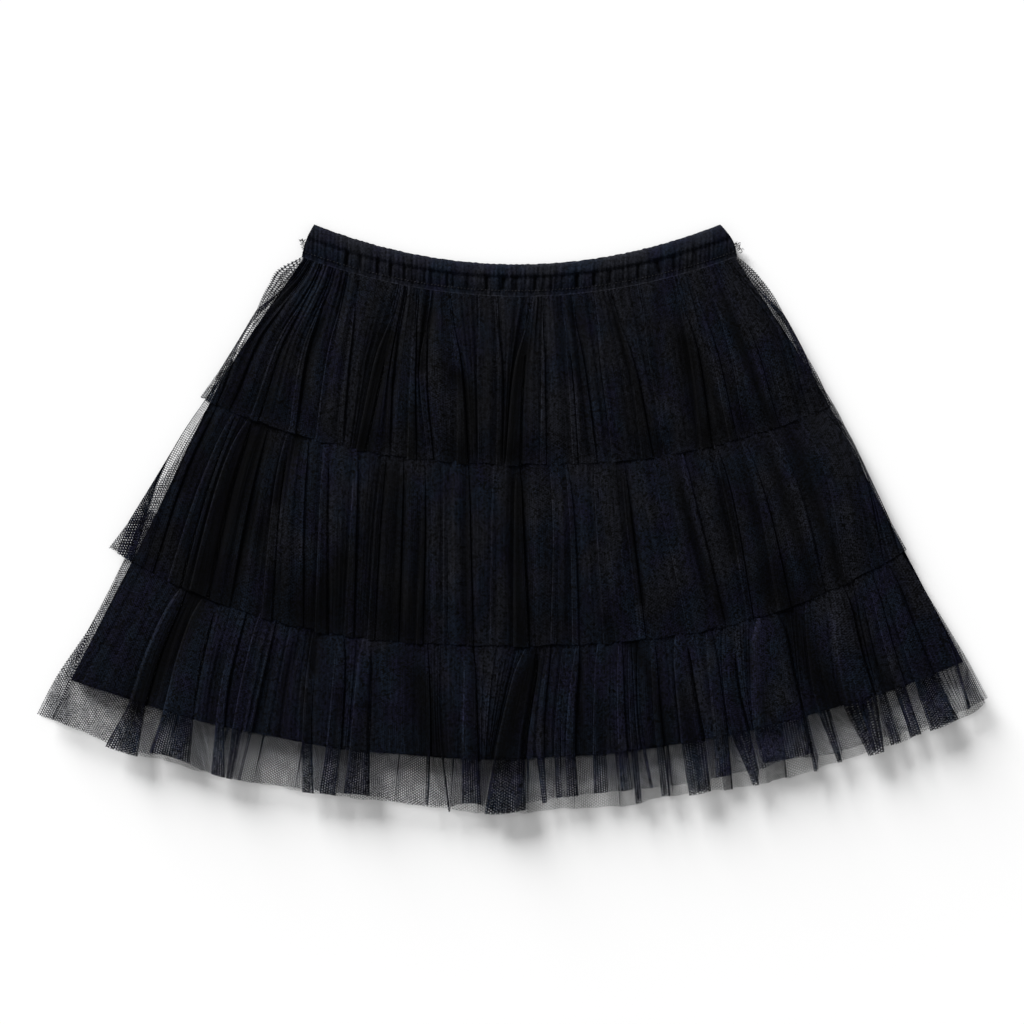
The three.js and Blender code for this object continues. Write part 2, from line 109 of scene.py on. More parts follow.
LINING = (
    (0, -160, 200.9, 170.9, 171.5, 201.1, 2),
    (0.33, -222, 108, 52, 232, 108, 2.1),
    (0.68, -282, -13, -70, 293, -8, 2.1),
    (1, -338.8, -122.8, -183.6, 346.5, -109.7, 2),
)
WAISTBAND = (
    (0, -152, 226.8, 196.2, 160, 226.8, 2),
    (0.45, -158, 214.5, 184.5, 169, 215, 2),
    (1, -161.5, 201.8, 171.2, 173, 202, 2),
)

# The pleats of each front tier, from left to right, each a fold of three layers. Their middle's X at the
# sewn edge, at the knee and at the hem, their width at the knee and at the hem, the side their free edge
# faces, the height that they stand up, and how far their hem hangs below the arc.
TIER_1_KNEE = 0.5
TIER_1_FOLDS = (
    (-157, -203.5, -231, 4.6, 8, 1, 1, 0.4),
    (-153, -192, -220, 3.9, 6.2, 1, 1.2, 0),
    (-146, -176, -198, 4.6, 6.9, -1, 1.6, 0.8),
    (-136, -158, -169, 3.9, 6.2, 1, 1.4, -0.4),
    (-126, -140, -149, 3.1, 4.6, -1, 1, 0.6),
    (-117, -126, -132, 3.1, 4.6, 1, 1.2, -0.6),
    (-86, -102, -116, 9.2, 7.7, -1, 2.2, 1.2),
    (-81, -92, -96, 3.1, 4.6, 1, 1, 0.2),
    (-72, -76, -77, 3.9, 7.7, 1, 1.6, 1),
    (-62, -68, -62, 6.2, 4.6, -1, 1.4, -0.4),
    (-48, -40, -38, 4.6, 9.2, 1, 2, 1.4),
    (-26, -25, -24, 3.1, 3.9, -1, 0.9, 0),
    (-12, -9, -10, 3.9, 4.6, 1, 1.2, 0.8),
    (14, 5, 1, 9.2, 12.3, -1, 2.4, 1.2),
    (24, 24, 24, 3.1, 4.6, 1, 0.9, -0.3),
    (38, 45, 49, 3.9, 4.6, -1, 1.1, 0.4),
    (46, 55, 63, 3.9, 5.4, 1, 1.4, -0.5),
    (62, 71, 80, 3.9, 5.4, -1, 1.2, 0.6),
    (75, 93, 104, 4.6, 9.2, 1, 1.9, 1),
    (97, 108, 120, 4.6, 6.2, -1, 1.2, -0.6),
    (126, 140, 149, 6.9, 9.2, 1, 2.2, 0.8),
    (137, 155, 170, 4.6, 6.2, 1, 1.4, 0),
    (147, 168, 182, 3.9, 5.4, -1, 1.2, -0.4),
    (157, 183, 203, 3.9, 5.4, 1, 1.6, 0.6),
    (165, 205, 226, 3.9, 5.4, -1, 1, 0),
    (169, 212, 238, 3.9, 7, 1, 0.8, 0.3),
)
TIER_2_KNEE = 0.5
TIER_2_FOLDS = (
    (-213, -262, -297, 6.2, 12, -1, 0.9, 0.5),
    (-207, -246, -279, 4.6, 6.9, 1, 1, 0),
    (-196, -229, -259, 6.2, 10.8, -1, 1.6, 0.6),
    (-185, -216, -240, 10.8, 15.4, -1, 2.4, -0.6),
    (-175, -199, -219, 3.9, 5.4, 1, 1.2, 0.4),
    (-163, -179, -188, 6.2, 9.2, -1, 2, 1),
    (-151, -161, -163, 4.6, 6.2, 1, 1.4, -0.8),
    (-140, -144, -146, 6.2, 10.8, -1, 2, 1.4),
    (-117, -121, -125, 4.6, 7.7, 1, 1.6, 0.4),
    (-92, -102, -108, 4.6, 6.2, -1, 1.4, 0.8),
    (-82, -86, -90, 3.9, 6.2, 1, 1, 0),
    (-68, -68, -71, 3.1, 5.4, 1, 1.8, 1),
    (-52, -51, -51, 3.1, 3.9, -1, 0.8, -0.3),
    (-34, -34, -32, 3.9, 4.6, 1, 1.3, 0.4),
    (-13, -14, -15, 3.1, 4.6, -1, 0.9, 0),
    (5, 5, 7, 6.9, 12.3, 1, 2.4, 1.4),
    (25, 33, 32, 3.9, 5.4, -1, 1, -0.6),
    (37, 46, 49, 3.9, 5.4, 1, 1.2, 0.3),
    (62, 66, 74, 3.9, 7.7, -1, 1.4, 0.8),
    (82, 89, 100, 4.6, 5.4, 1, 1.6, -0.9),
    (102, 116, 137, 3.1, 4.6, -1, 1, 0.4),
    (123, 139, 161, 4.6, 6.2, 1, 1.8, 0.8),
    (145, 166, 183, 6.2, 5.4, -1, 1.4, -0.4),
    (164, 189, 209, 5.4, 10.8, 1, 2, 0.6),
    (179, 214, 237, 4.6, 6.9, 1, 1.6, 0),
    (197, 239, 259, 4.6, 6.2, -1, 1.4, 0.8),
    (210, 260, 283, 3.9, 5.4, 1, 1, 0),
    (216, 264, 294, 3.9, 8, -1, 0.8, 0.4),
)
TIER_3_KNEE = 0.8
TIER_3_FOLDS = (
    (-231, -288, -299, 13.1, 25, 1, 0.8, 3),
    (-219, -256, -262, 23.1, 31, -1, 1, -1),
    (-192, -224, -225, 6.9, 11, 1, 1.6, 0.5),
    (-182, -211, -216.5, 7.7, 4.6, -1, 1.4, 0.6),
    (-171, -201, -209, 2.3, 1.6, 1, 1, 0),
    (-146, -157, -156, 7.7, 9, -1, 1.8, 3),
    (-129, -137, -141, 11.6, 13, 1, 1.6, 2.6),
    (-109, -117, -119, 15.4, 20, -1, 2, 0),
    (-67, -64, -65, 3.1, 2.3, 1, 1, 0.5),
    (-55, -53, -48, 2.3, 1.6, -1, 1, 5),
    (-32, -32, -31, 13.1, 15, 1, 1.8, -1),
    (25, -2, -5, 24.6, 32.3, -1, 2.8, 6),
    (35, 22, 25, 6.2, 3.9, 1, 1.4, 2.6),
    (45, 35, 36, 5.4, 4.4, -1, 1.2, 0),
    (55, 45, 46.5, 7.7, 9, 1, 1.6, 0),
    (68, 67, 68, 10, 11, -1, 1.4, 0),
    (83, 85, 88, 7, 9, 1, 2, 0.4),
    (89, 94, 97, 5, 5, -1, 1.6, 11),
    (97, 101, 107, 2.3, 2.6, -1, 1, 0),
    (106, 114, 118, 6.2, 7, 1, 1.4, 8),
    (123, 139, 144, 18.5, 16.9, -1, 2.2, 10),
    (145, 160, 162, 10.8, 12, 1, 1.6, 0),
    (162, 176, 187, 14.6, 5, -1, 1.8, 12),
    (192, 205, 211, 40, 38, 1, 3, -4),
    (213, 226, 233, 2.6, 3.4, -1, 1.2, 11),
    (222, 240, 251, 8.5, 3.9, -1, 1.4, 9),
    (242, 268, 279, 25.4, 12, 1, 2.2, 10.5),
    (254, 284.5, 294, 5.4, 8, -1, 1.6, 7),
    (262, 299, 309, 7.7, 9, 1, 1.4, 5),
    (270, 318, 331, 16.2, 22, -1, 2, 5),
    (275, 342, 350, 2.3, 2, 1, 1, 0.6),
)

# Valleys that the layers have sunk into, each along a curve from one end to the other: X and Y of its first
# end, of a point between and of its last end, its width at both ends, its depth, and how much painted shade
# darkens its colour.
TIER_1_VALLEYS = (
    (-149, 199, -188, 154, -217, 88, 3, 5, 1.4, 0.55),
    (-164, 146, -179, 107, -190, 86, 4, 8, 1.4, 0.6),
    (-141, 161, -154, 131, -162, 92, 2.5, 4, 1.8, 0.7),
    (-126, 184, -129, 176, -131, 160, 5, 3, 1.2, 0.5),
    (-90, 154, -103, 112, -116, 56, 10, 8, 3.2, 1),
    (-63, 168, -67, 140, -69, 116, 5, 4, 2.4, 0.85),
    (-86, 120, -94, 92, -97, 56, 2, 2.5, 1.4, 0.65),
    (-75, 92, -76, 72, -78, 48, 4.5, 5, 1.8, 0.8),
    (-50, 118, -32, 90, -38, 46, 5, 9, 2.8, 0.95),
    (-9, 153, -7, 144, -4, 132, 3, 2.5, 1.2, 0.5),
    (13, 150, 2, 100, -3, 50, 6.5, 10, 3.2, 1),
    (45, 166, 51, 140, 58, 52, 8, 3, 1.8, 0.55),
    (76, 168, 91, 116, 113, 52, 2.5, 4, 2.4, 0.8),
    (92, 100, 97, 76, 102, 48, 7, 7, 2, 0.75),
    (107, 160, 111, 130, 113, 96, 7, 6, 1.6, 0.5),
    (129, 153, 139, 108, 149, 60, 6, 8, 2.8, 0.95),
    (138, 134, 153, 96, 169, 60, 4, 5, 2.2, 0.75),
    (162, 172, 183, 114, 202, 71, 3, 3.5, 2.2, 0.8),
    (162, 118, 174, 86, 180, 68, 3, 3, 1.2, 0.6),
    (205, 134, 214, 108, 222, 84, 3, 3, 0.8, 0.35),
    # The last two rows sink nothing: they only paint broad shade.
    (-170, 190, -190, 140, -212, 88, 18, 25, 0, 0.16),
    (-45, 165, -40, 110, -40, 50, 35, 45, 0, 0.14),
)
TIER_2_VALLEYS = (
    (-155, 84, -172, 44, -181, 14, 6, 5, 2.6, 0.9),
    (-183, 10, -188, -6, -192, -16, 4, 6, 1.6, 0.6),
    (-189, 84, -213, 20, -252, -80, 13, 15, 3, 1),
    (-192, 30, -205, -20, -219, -64, 3, 4, 2, 0.85),
    (-192, 2, -191, -16, -190, -34, 5, 6, 1.4, 0.6),
    (-175, -32, -184, -56, -191, -72, 5, 7, 1.8, 0.75),
    (-158, -34, -161, -52, -161, -76, 4, 5, 1.6, 0.65),
    (-122, -22, -136, -50, -150, -74, 10, 20, 2.2, 0.95),
    (-92, 48, -100, 4, -106, -76, 5, 18, 2.2, 0.7),
    (-83, 44, -86, 4, -82, -84, 4, 12, 1.2, 0.6),
    (-67, 14, -69, -30, -72, -90, 3, 4, 2.4, 0.85),
    (-85, -52, -86, -72, -88, -92, 13, 13, 1.2, 0.6),
    (-34, 42, -34, -8, -33, -94, 2.5, 3, 1.6, 0.7),
    (5, 42, 4, -6, 6, -94, 6, 9, 3.2, 1),
    (38, -16, 41, -44, 38, -88, 7, 8, 1.2, 0.5),
    (83, 44, 92, -10, 100, -62, 4, 3.5, 2.2, 0.8),
    (125, 38, 142, -20, 162, -74, 3, 5, 2.4, 0.8),
    (161, 38, 167, 4, 172, -24, 3.5, 6, 2.4, 0.85),
    (172, 54, 194, -16, 212, -62, 6, 8, 1.8, 0.65),
    (195, 60, 213, 4, 238, -62, 3, 5, 1.8, 0.7),
    (212, 72, 237, 0, 257, -56, 5, 4, 2.2, 0.8),
    (188, -38, 199, -52, 214, -66, 12, 12, 1.6, 0.7),
    (-229, 88, -239, 50, -252, 22, 3, 3, 1, 0.45),
    (-264, 0, -276, -30, -288, -60, 4, 4, 0.8, 0.35),
    (74, -70, 74, -80, 75, -92, 6, 6, 1.2, 0.6),
    # This row sinks nothing: it only paints broad shade.
    (-215, 88, -240, 20, -275, -70, 25, 40, 0, 0.3),
)
TIER_3_VALLEYS = (
    (-233, -44, -260, -94, -289, -146, 12, 10, 2.4, 0.98),
    (-222, -100, -228, -130, -232, -158, 3, 4, 1.4, 0.5),
    (-182, -100, -188, -130, -195, -164, 3, 3, 1, 0.4),
    (-150, -82, -153, -100, -153, -116, 5, 3, 2, 0.9),
    (-163, -92, -175, -130, -178, -168, 3, 3, 1.4, 0.55),
    (-157, -124, -156, -150, -155, -172, 5, 5, 1.4, 0.5),
    (-129, -130, -134, -152, -137, -174, 3, 3, 1.4, 0.55),
    (-111, -138, -114, -160, -116, -176, 3, 3, 1.2, 0.5),
    (-76, -110, -64, -146, -56, -186, 7, 13, 2, 0.9),
    (-31, -92, -29, -130, -28, -182, 2, 2.5, 1.2, 0.5),
    (24, -98, 4, -136, -10, -186, 9, 10, 3, 1),
    (18, -130, 11, -156, 6, -182, 3, 3, 1.4, 0.5),
    (55, -100, 52, -140, 55, -178, 2.5, 3, 1.8, 0.7),
    (68, -138, 70, -158, 72, -178, 6, 6, 1.4, 0.5),
    (99, -100, 112, -138, 120, -176, 3, 7, 2.2, 0.78),
    (129, -130, 134, -152, 138, -172, 4, 5, 2, 0.72),
    (92, -92, 94, -98, 97, -106, 5, 4, 1, 0.7),
    (179, -92, 190, -134, 203, -170, 3, 3.5, 1.8, 0.7),
    (208, -58, 230, -112, 256, -152, 9, 11, 2.4, 0.95),
    (259, -56, 275, -104, 291, -132, 5, 5, 2.2, 0.75),
    (310, -100, 318, -114, 323, -126, 2.5, 3, 1, 0.45),
    (291, -34, 300, -56, 308, -72, 3, 3, 1, 0.4),
)


# Curves and outlines

def smooth_step(value, low, high):
    share = np.clip((value - low) / (high - low), 0.0, 1.0)
    return share * share * (3.0 - 2.0 * share)


def curve_through(x, xs, ys):
    """A smooth curve through the points (xs, ys), read at x."""
    xs = np.asarray(xs, float)
    ys = np.asarray(ys, float)
    slopes = np.gradient(ys, xs)
    i = np.clip(np.searchsorted(xs, x, side="right") - 1, 0, len(xs) - 2)
    width = xs[i + 1] - xs[i]
    t = (x - xs[i]) / width
    start = (2 * t**3 - 3 * t**2 + 1) * ys[i] + (t**3 - 2 * t**2 + t) * width * slopes[i]
    end = (3 * t**2 - 2 * t**3) * ys[i + 1] + (t**3 - t**2) * width * slopes[i + 1]
    return start + end


def section_at(sections, down):
    """The section of a panel at any share of the way down it."""
    downs = [section[0] for section in sections]
    columns = zip(*[section[1:] for section in sections])
    return tuple(float(curve_through(down, downs, column)) for column in columns)


def arc_height(section, x):
    left_x, left_y, middle_y, right_x, right_y, power = section
    u = np.clip((x - left_x) / (right_x - left_x), 0.0, 1.0)
    sag = (left_y + right_y) / 2 - middle_y
    return left_y + (right_y - left_y) * u - sag * (1 - np.abs(2 * u - 1) ** power)


def panel_height(sections, hem, down, x):
    """Y on a panel. With a hem of its own, the panel follows that towards its lower edge."""
    y = arc_height(section_at(sections, down), x)
    if hem:
        xs, ys = zip(*hem)
        y = y + down**3 * (curve_through(x, xs, ys) - arc_height(sections[-1][1:], x))
    return y


def depth_at_middle(sections):
    return sections[0][3] - sections[-1][3]


def overlap_share(sections):
    return 1 - TIER_OVERLAP / depth_at_middle(sections)


def with_hidden_top(lower_sections, tier_above):
    """A tier whose sewn top edge runs under the tier above."""
    left_x, left_y, middle_y, right_x, right_y, power = section_at(tier_above, overlap_share(tier_above))
    top = (0.0, left_x + TOP_EDGE_INSET, left_y, middle_y, right_x - TOP_EDGE_INSET, right_y, power)
    return (top,) + tuple(lower_sections)


TIER_2 = with_hidden_top(TIER_2_LOWER, TIER_1)
TIER_3 = with_hidden_top(TIER_3_LOWER, TIER_2)


def beside_lining(x, y):
    """How far points lie outside the lining's side seams. Negative between them."""
    _, left_x, left_y, _, right_x, right_y, _ = np.array(LINING[::-1]).T
    left = np.interp(y, left_y, left_x) - x
    right = x - np.interp(y, right_y, right_x)
    return np.maximum(left, right)


def outside_lining(x, y):
    """How far points lie outside the lining, sideways or below its hem. Negative inside."""
    below = arc_height(LINING[-1][1:], x) - y
    return np.maximum(beside_lining(x, y), below)


def front_level(x, y):
    """Front layers rest on the lining, and droop past its edges onto the back layers."""
    droop = smooth_step(outside_lining(x, y), DROOP_START, DROOP_END)
    return FRONT_NET_LEVEL + (SIDE_NET_LEVEL - FRONT_NET_LEVEL) * droop


# Meshes

def quads(rows, columns):
    corner = np.arange(rows * columns).reshape(rows, columns)
    around = (corner[:-1, :-1], corner[1:, :-1], corner[1:, 1:], corner[:-1, 1:])
    return corner, np.stack(around, axis=-1).reshape(-1, 4)


def add_object(name, data):
    added = bpy.data.objects.new(name, data)
    bpy.context.scene.collection.objects.link(added)
    return added


def add_mesh(name, points, faces, fabric, attributes, material):
    """A smooth mesh in millimetres. The cloth's flat coordinates are its UV map."""
    mesh = bpy.data.meshes.new(name)
    mesh.from_pydata((points * MM).tolist(), [], faces.tolist())
    corners = np.empty(len(mesh.loops), np.int32)
    mesh.loops.foreach_get("vertex_index", corners)
    mesh.uv_layers.new(name="fabric").data.foreach_set("uv", (fabric[corners] * MM).ravel())
    lined = 1 - smooth_step(outside_lining(points[:, 0], points[:, 1]), -0.8, 0.2)
    for key, values in {"lined": lined, **attributes}.items():
        mesh.attributes.new(key, "FLOAT", "POINT").data.foreach_set("value", values)
    mesh.polygons.foreach_set("use_smooth", np.ones(len(mesh.polygons), bool))
    mesh.materials.append(material)
    return add_object(name, mesh)


# How much closer the net is gathered along the side seams and in the folds, and how much looser at the back.
SIDE_CROWD = 0.7
FOLD_CROWD = 0.65
BACK_SLACK = 0.5
CROWD_MOST = 2.0
LEAST_WIDTH = 0.05
SIDE_CROWD_FADE = 3.0


def crowding(top, fabric):
    """How closely the cloth is gathered: its flat width over the width that it now fills, less one."""
    filled = np.linalg.norm(np.diff(top, axis=1), axis=2)
    flat = np.diff(fabric[..., 0], axis=1)
    crowd = np.clip(flat / np.maximum(filled, LEAST_WIDTH) - 1, 0, CROWD_MOST)
    crowd = np.pad((crowd[:, 1:] + crowd[:, :-1]) / 2, ((0, 0), (1, 1)), mode="edge")
    beside = beside_lining(top[..., 0], top[..., 1])
    return crowd + SIDE_CROWD * smooth_step(beside, 0.0, SIDE_CROWD_FADE)


def fabric_row(along, down):
    return np.stack([along, np.full_like(along, down)], axis=-1)


def open_sheet(name, top, fabric, shade, gathered, material):
    faces = quads(*top.shape[:2])[1]
    crowd = crowding(top, fabric) + gathered
    attributes = {"shade": shade.ravel(), "crowd": crowd.ravel()}
    return add_mesh(name, top.reshape(-1, 3), faces, fabric.reshape(-1, 2), attributes, material)


def closed_sheet(name, top, under, fabric, shade, material):
    """A closed wall between two grids of points, with a rim around it."""
    corner, upper = quads(*top.shape[:2])
    count = corner.size
    edge = np.concatenate([corner[0, ::-1], corner[1:, 0], corner[-1, 1:], corner[-2:0:-1, -1]])
    ahead = np.roll(edge, -1)
    rim = np.stack([ahead, ahead + count, edge + count, edge], axis=-1)
    faces = np.concatenate([upper, upper[:, ::-1] + count, rim])
    points = np.concatenate([top.reshape(-1, 3), under.reshape(-1, 3)])
    flat = np.concatenate([fabric.reshape(-1, 2)] * 2)
    return add_mesh(name, points, faces, flat, {"shade": np.concatenate([shade.ravel()] * 2)}, material)


# The gathers' ripples: wavelength along the cloth in millimetres and share of the height.
RIPPLES = ((5.3, 0.45), (8.1, 0.4), (13.3, 0.4), (23.0, 0.35))


def ripples(along, down, seed):
    """Uneven gathers: waves along the cloth, which wander a little down its length."""
    chance = random.Random(seed)
    height = np.zeros_like(along)
    for wavelength, share in RIPPLES:
        phase = chance.uniform(0, 2 * math.pi)
        drift = chance.uniform(30, 70)
        wander = 0.9 * np.sin(along / drift + phase)
        wander = wander + 0.8 * np.sin(along / (drift * 0.43) + 2 * phase + 4 * down)
        swell = 0.6 + 0.4 * np.sin(along / (wavelength * 3.7) + 5 * phase + 2 * down)
        height += share * swell * np.sin(2 * math.pi * along / wavelength + phase + wander)
    return height


VALLEY_STEPS = 12
VALLEY_SPREAD = 1.35
VALLEY_DEPTH = 0.4
VALLEY_POWER = 2.2
# The strength that a valley starts with, and the share of the way along where it has it all.
VALLEY_START = 0.45
VALLEY_FULL = 0.2


def valley_depths(x, y, valleys):
    """How deep each point sinks into the valleys, and how much painted shade darkens its colour."""
    sunk = np.zeros_like(x)
    shade = np.zeros_like(x)
    for x0, y0, x1, y1, x2, y2, width_0, width_2, depth, dark in valleys:
        steps = np.linspace(0, 1, VALLEY_STEPS + 1)
        curve_x = curve_through(steps, (0, 0.5, 1), (x0, x1, x2))
        curve_y = curve_through(steps, (0, 0.5, 1), (y0, y1, y2))
        nearest = np.full(x.shape, np.inf)
        at = np.zeros_like(x)
        for i in range(VALLEY_STEPS):
            dx = curve_x[i + 1] - curve_x[i]
            dy = curve_y[i + 1] - curve_y[i]
            t = np.clip(((x - curve_x[i]) * dx + (y - curve_y[i]) * dy) / (dx * dx + dy * dy), 0, 1)
            away = np.hypot(x - curve_x[i] - t * dx, y - curve_y[i] - t * dy)
            at = np.where(away < nearest, (i + t) / VALLEY_STEPS, at)
            nearest = np.minimum(nearest, away)
        width = VALLEY_SPREAD * (width_0 + (width_2 - width_0) * at)
        ends = VALLEY_START + (1 - VALLEY_START) * smooth_step(at, 0.0, VALLEY_FULL)
        strength = ends * np.exp(-np.abs(nearest / width) ** VALLEY_POWER)
        sunk += VALLEY_DEPTH * depth * strength
        shade = 1 - (1 - shade) * (1 - dark * strength)
    return sunk, shade


# Across a fold the cloth runs right, back under itself and right again, from its top layer down.
FOLD_TURNS = (0, 0.30, 0.36, 0.64, 0.70, 1)
FOLD_RUN = (0, 0.97, 1.0, 0.0, 0.03, 1)
LAYER_TURNS = (0, 0.29, 0.37, 0.63, 0.71, 1)
LAYER_HEIGHTS = (2, 2, 1, 1, 0, 0)
LAYER_STEP = 0.32
FOLD_COLUMNS = 14
FOLD_STARTS = 0.06
FOLD_RISE = 0.55
FOLD_FORMED = 0.42
GAP_STEP = 1.15
GAP_FULLNESS = 1.05
FOLD_FULLNESS = 2.8
CLEARANCE = 0.25
SEAM_GATHER = 0.5
HEM_GATHER = 0.3
GATHERS_END = 0.75
# A fold's width at the sewn edge, as a share of that at the knee.
SEAM_WIDTH = 0.45
# The share of a fold's rise that its lowest layer has, and what each layer above adds.
LOW_LAYER_RISE = 0.35
LAYER_RISE = 0.325
CROWN_POWER = 0.7
# The hem's fine waves: length per radian, height, and how far the seed shifts them.
HEM_WAVES = ((3.1, 0.35, 1), (7.3, 0.45, 2))
HEM_TILT = 1.1
HEM_POWER = 5
# How flat the tier above presses the covered part, and how far below it the cloth is free again.
PRESSED = 0.6
PRESSED_FADE = 0.4
# Between these shares of the way down, a settled hem flattens, and its valleys fade out.
SETTLES = (0.8, 1.0)
VALLEYS_FADE = (0.7, 0.92)
LEAST_HEIGHT = 0.05


class ClothColumns:
    """The columns of a pleated panel: flat gaps and three-layer folds in turn, along its hem."""

    def __init__(self, sections, folds):
        self.columns = []
        run = 0.0
        start, right_x = sections[-1][1], sections[-1][4]
        seam_start, seam_right = sections[0][1], sections[0][4]
        for k in range(len(folds) + 1):
            last = k == len(folds)
            end = right_x if last else folds[k][2] - folds[k][4] / 2
            seam_end = seam_right if last else folds[k][0]
            width = max(end - start, seam_end - seam_start, CLEARANCE)
            count = max(3, round(width / GAP_STEP))
            run = self.add(k, -1, np.linspace(0, 1, count + 1), run, width * GAP_FULLNESS)
            if not last:
                shares = np.arange(1, FOLD_COLUMNS) / FOLD_COLUMNS
                run = self.add(-1, k, shares, run, FOLD_FULLNESS * folds[k][4])
                start = folds[k][2] + folds[k][4] / 2
                seam_start = folds[k][0]
        self.gap, self.fold, self.across, self.along = map(np.array, zip(*self.columns))
        self.in_gap = self.gap >= 0
        self.cut_width = run

    def add(self, gap, fold, shares, run, width):
        self.columns += [(gap, fold, share, run + width * share) for share in shares]
        return run + width


def fold_edges(folds, knee, down, left_x, right_x):
    """Where the gaps between folds start and end, at a share of the way down."""
    shares = (0, knee, 1)
    middles = np.array([float(curve_through(down, shares, fold[:3])) for fold in folds])
    widths = np.array([np.interp(down, shares, (SEAM_WIDTH * fold[3], fold[3], fold[4])) for fold in folds])
    starts = np.concatenate([[left_x], middles + widths / 2])
    ends = np.concatenate([middles - widths / 2, [right_x]])
    crossed = ends - starts < CLEARANCE
    middle = (starts + ends) / 2
    starts = np.where(crossed, middle - CLEARANCE / 2, starts)
    ends = np.where(crossed, middle + CLEARANCE / 2, ends)
    return starts, ends


def pleated_tier(
    name, sections, folds, knee, rows, material, level,
    hem=None, valleys=(), puff=1.6, seed=1, covered=0.0, settled=0.0, slack=0.0,
):
    """A gathered net panel: gathers at its sewn edge grow into folds of three layers towards its hem."""
    cloth = ClothColumns(sections, folds)
    across, along, in_gap = cloth.across, cloth.along, cloth.in_gap
    side, rise, drop = np.array(folds, float).T[5:]
    from_top = np.where(side[cloth.fold] > 0, across, 1 - across)
    layer = np.interp(from_top, LAYER_TURNS, LAYER_HEIGHTS)
    zigzag = np.interp(across, FOLD_TURNS, FOLD_RUN)
    crown = np.sin(math.pi * across) ** CROWN_POWER
    ease = across * across * (3 - 2 * across)
    chance = random.Random(seed)
    tilts = np.array([chance.uniform(-HEM_TILT, HEM_TILT) for _ in range(len(folds) + 1)])
    hem_wave = sum(height * np.sin(along / turn + shift * seed) for turn, height, shift in HEM_WAVES)
    gap_hem = tilts[cloth.gap] * (across - 0.5) + hem_wave
    hangs = np.where(in_gap, gap_hem, drop[cloth.fold] * np.sin(math.pi * across) ** 0.3 + 0.5 * hem_wave)
    top = np.zeros((rows + 1, len(across), 3))
    fabric = np.zeros((rows + 1, len(across), 2))
    for row in range(rows + 1):
        down = row / rows
        section = section_at(sections, down)
        left_x, right_x = section[0], section[3]
        starts, ends = fold_edges(folds, knee, down, left_x, right_x)
        formed = smooth_step(down, FOLD_STARTS, FOLD_FORMED)
        gap_x = starts[cloth.gap] + (ends - starts)[cloth.gap] * across
        fold_width = (starts[1:] - ends[:-1])[cloth.fold]
        fold_x = ends[:-1][cloth.fold] + fold_width * (across + (zigzag - across) * formed)
        x = np.where(in_gap, gap_x, fold_x)
        lift = FOLD_RISE * rise[cloth.fold] * formed * (LOW_LAYER_RISE + LAYER_RISE * layer) * crown
        fold_z = LAYER_STEP * layer * formed + lift
        edge_z = 2 * LAYER_STEP * formed
        before = np.concatenate([[0.0], np.where(side > 0, 0.0, edge_z)])[cloth.gap]
        after = np.concatenate([np.where(side > 0, edge_z, 0.0), [0.0]])[cloth.gap]
        gap_z = before + (after - before) * ease + 0.5 * puff * np.sin(math.pi * across)
        swell = puff * (0.4 + 0.5 * math.sin(math.pi * min(1, 0.15 + 0.85 * down)))
        gathers = HEM_GATHER + (SEAM_GATHER - HEM_GATHER) * (1 - smooth_step(down, 0.0, GATHERS_END))
        z = np.where(in_gap, gap_z, fold_z) + swell + gathers * (1 + ripples(along, down, seed))
        pressed = PRESSED * (1 - smooth_step(down, covered, covered + PRESSED_FADE)) if covered else 0.0
        z = z * (1 - pressed) * (1 - settled * smooth_step(down, *SETTLES))
        top[row, :, 0] = x
        top[row, :, 1] = panel_height(sections, hem, down, np.clip(x, left_x, right_x))
        top[row, :, 1] -= hangs * down**HEM_POWER
        top[row, :, 2] = z
        fabric[row] = fabric_row(along, down * depth_at_middle(sections))
    x, y = top[..., 0], top[..., 1]
    # The valleys sink the cloth, and paint shade into its colour through the shade attribute.
    sunk, dark = valley_depths(x, y, valleys)
    downs = np.linspace(0, 1, rows + 1)[:, None]
    if settled:
        sunk = sunk * (1 - smooth_step(downs, *VALLEYS_FADE))
    top[..., 2] = level(x, y, downs) + np.maximum(top[..., 2] - sunk, LEAST_HEIGHT)
    gathered = np.where(in_gap, 0.0, FOLD_CROWD) - slack
    return open_sheet(name, top, fabric, 1 - dark, gathered, material), cloth.cut_width


# Materials

class Joined:
    """What both kinds of node tree share: short calls that join their nodes."""

    def put(self, value, socket):
        """Gives a socket a constant or another node's output."""
        if isinstance(value, bpy.types.NodeSocket):
            self.tree.links.new(value, socket)
        else:
            socket.default_value = value

    def put_all(self, values, sockets):
        for value, socket in zip(values, sockets):
            self.put(value, socket)

    def fill(self, node, **values):
        """Gives a node's named inputs their values. An underscore stands for a space."""
        for key, value in values.items():
            self.put(value, node.inputs[key.replace("_", " ")])
        return node


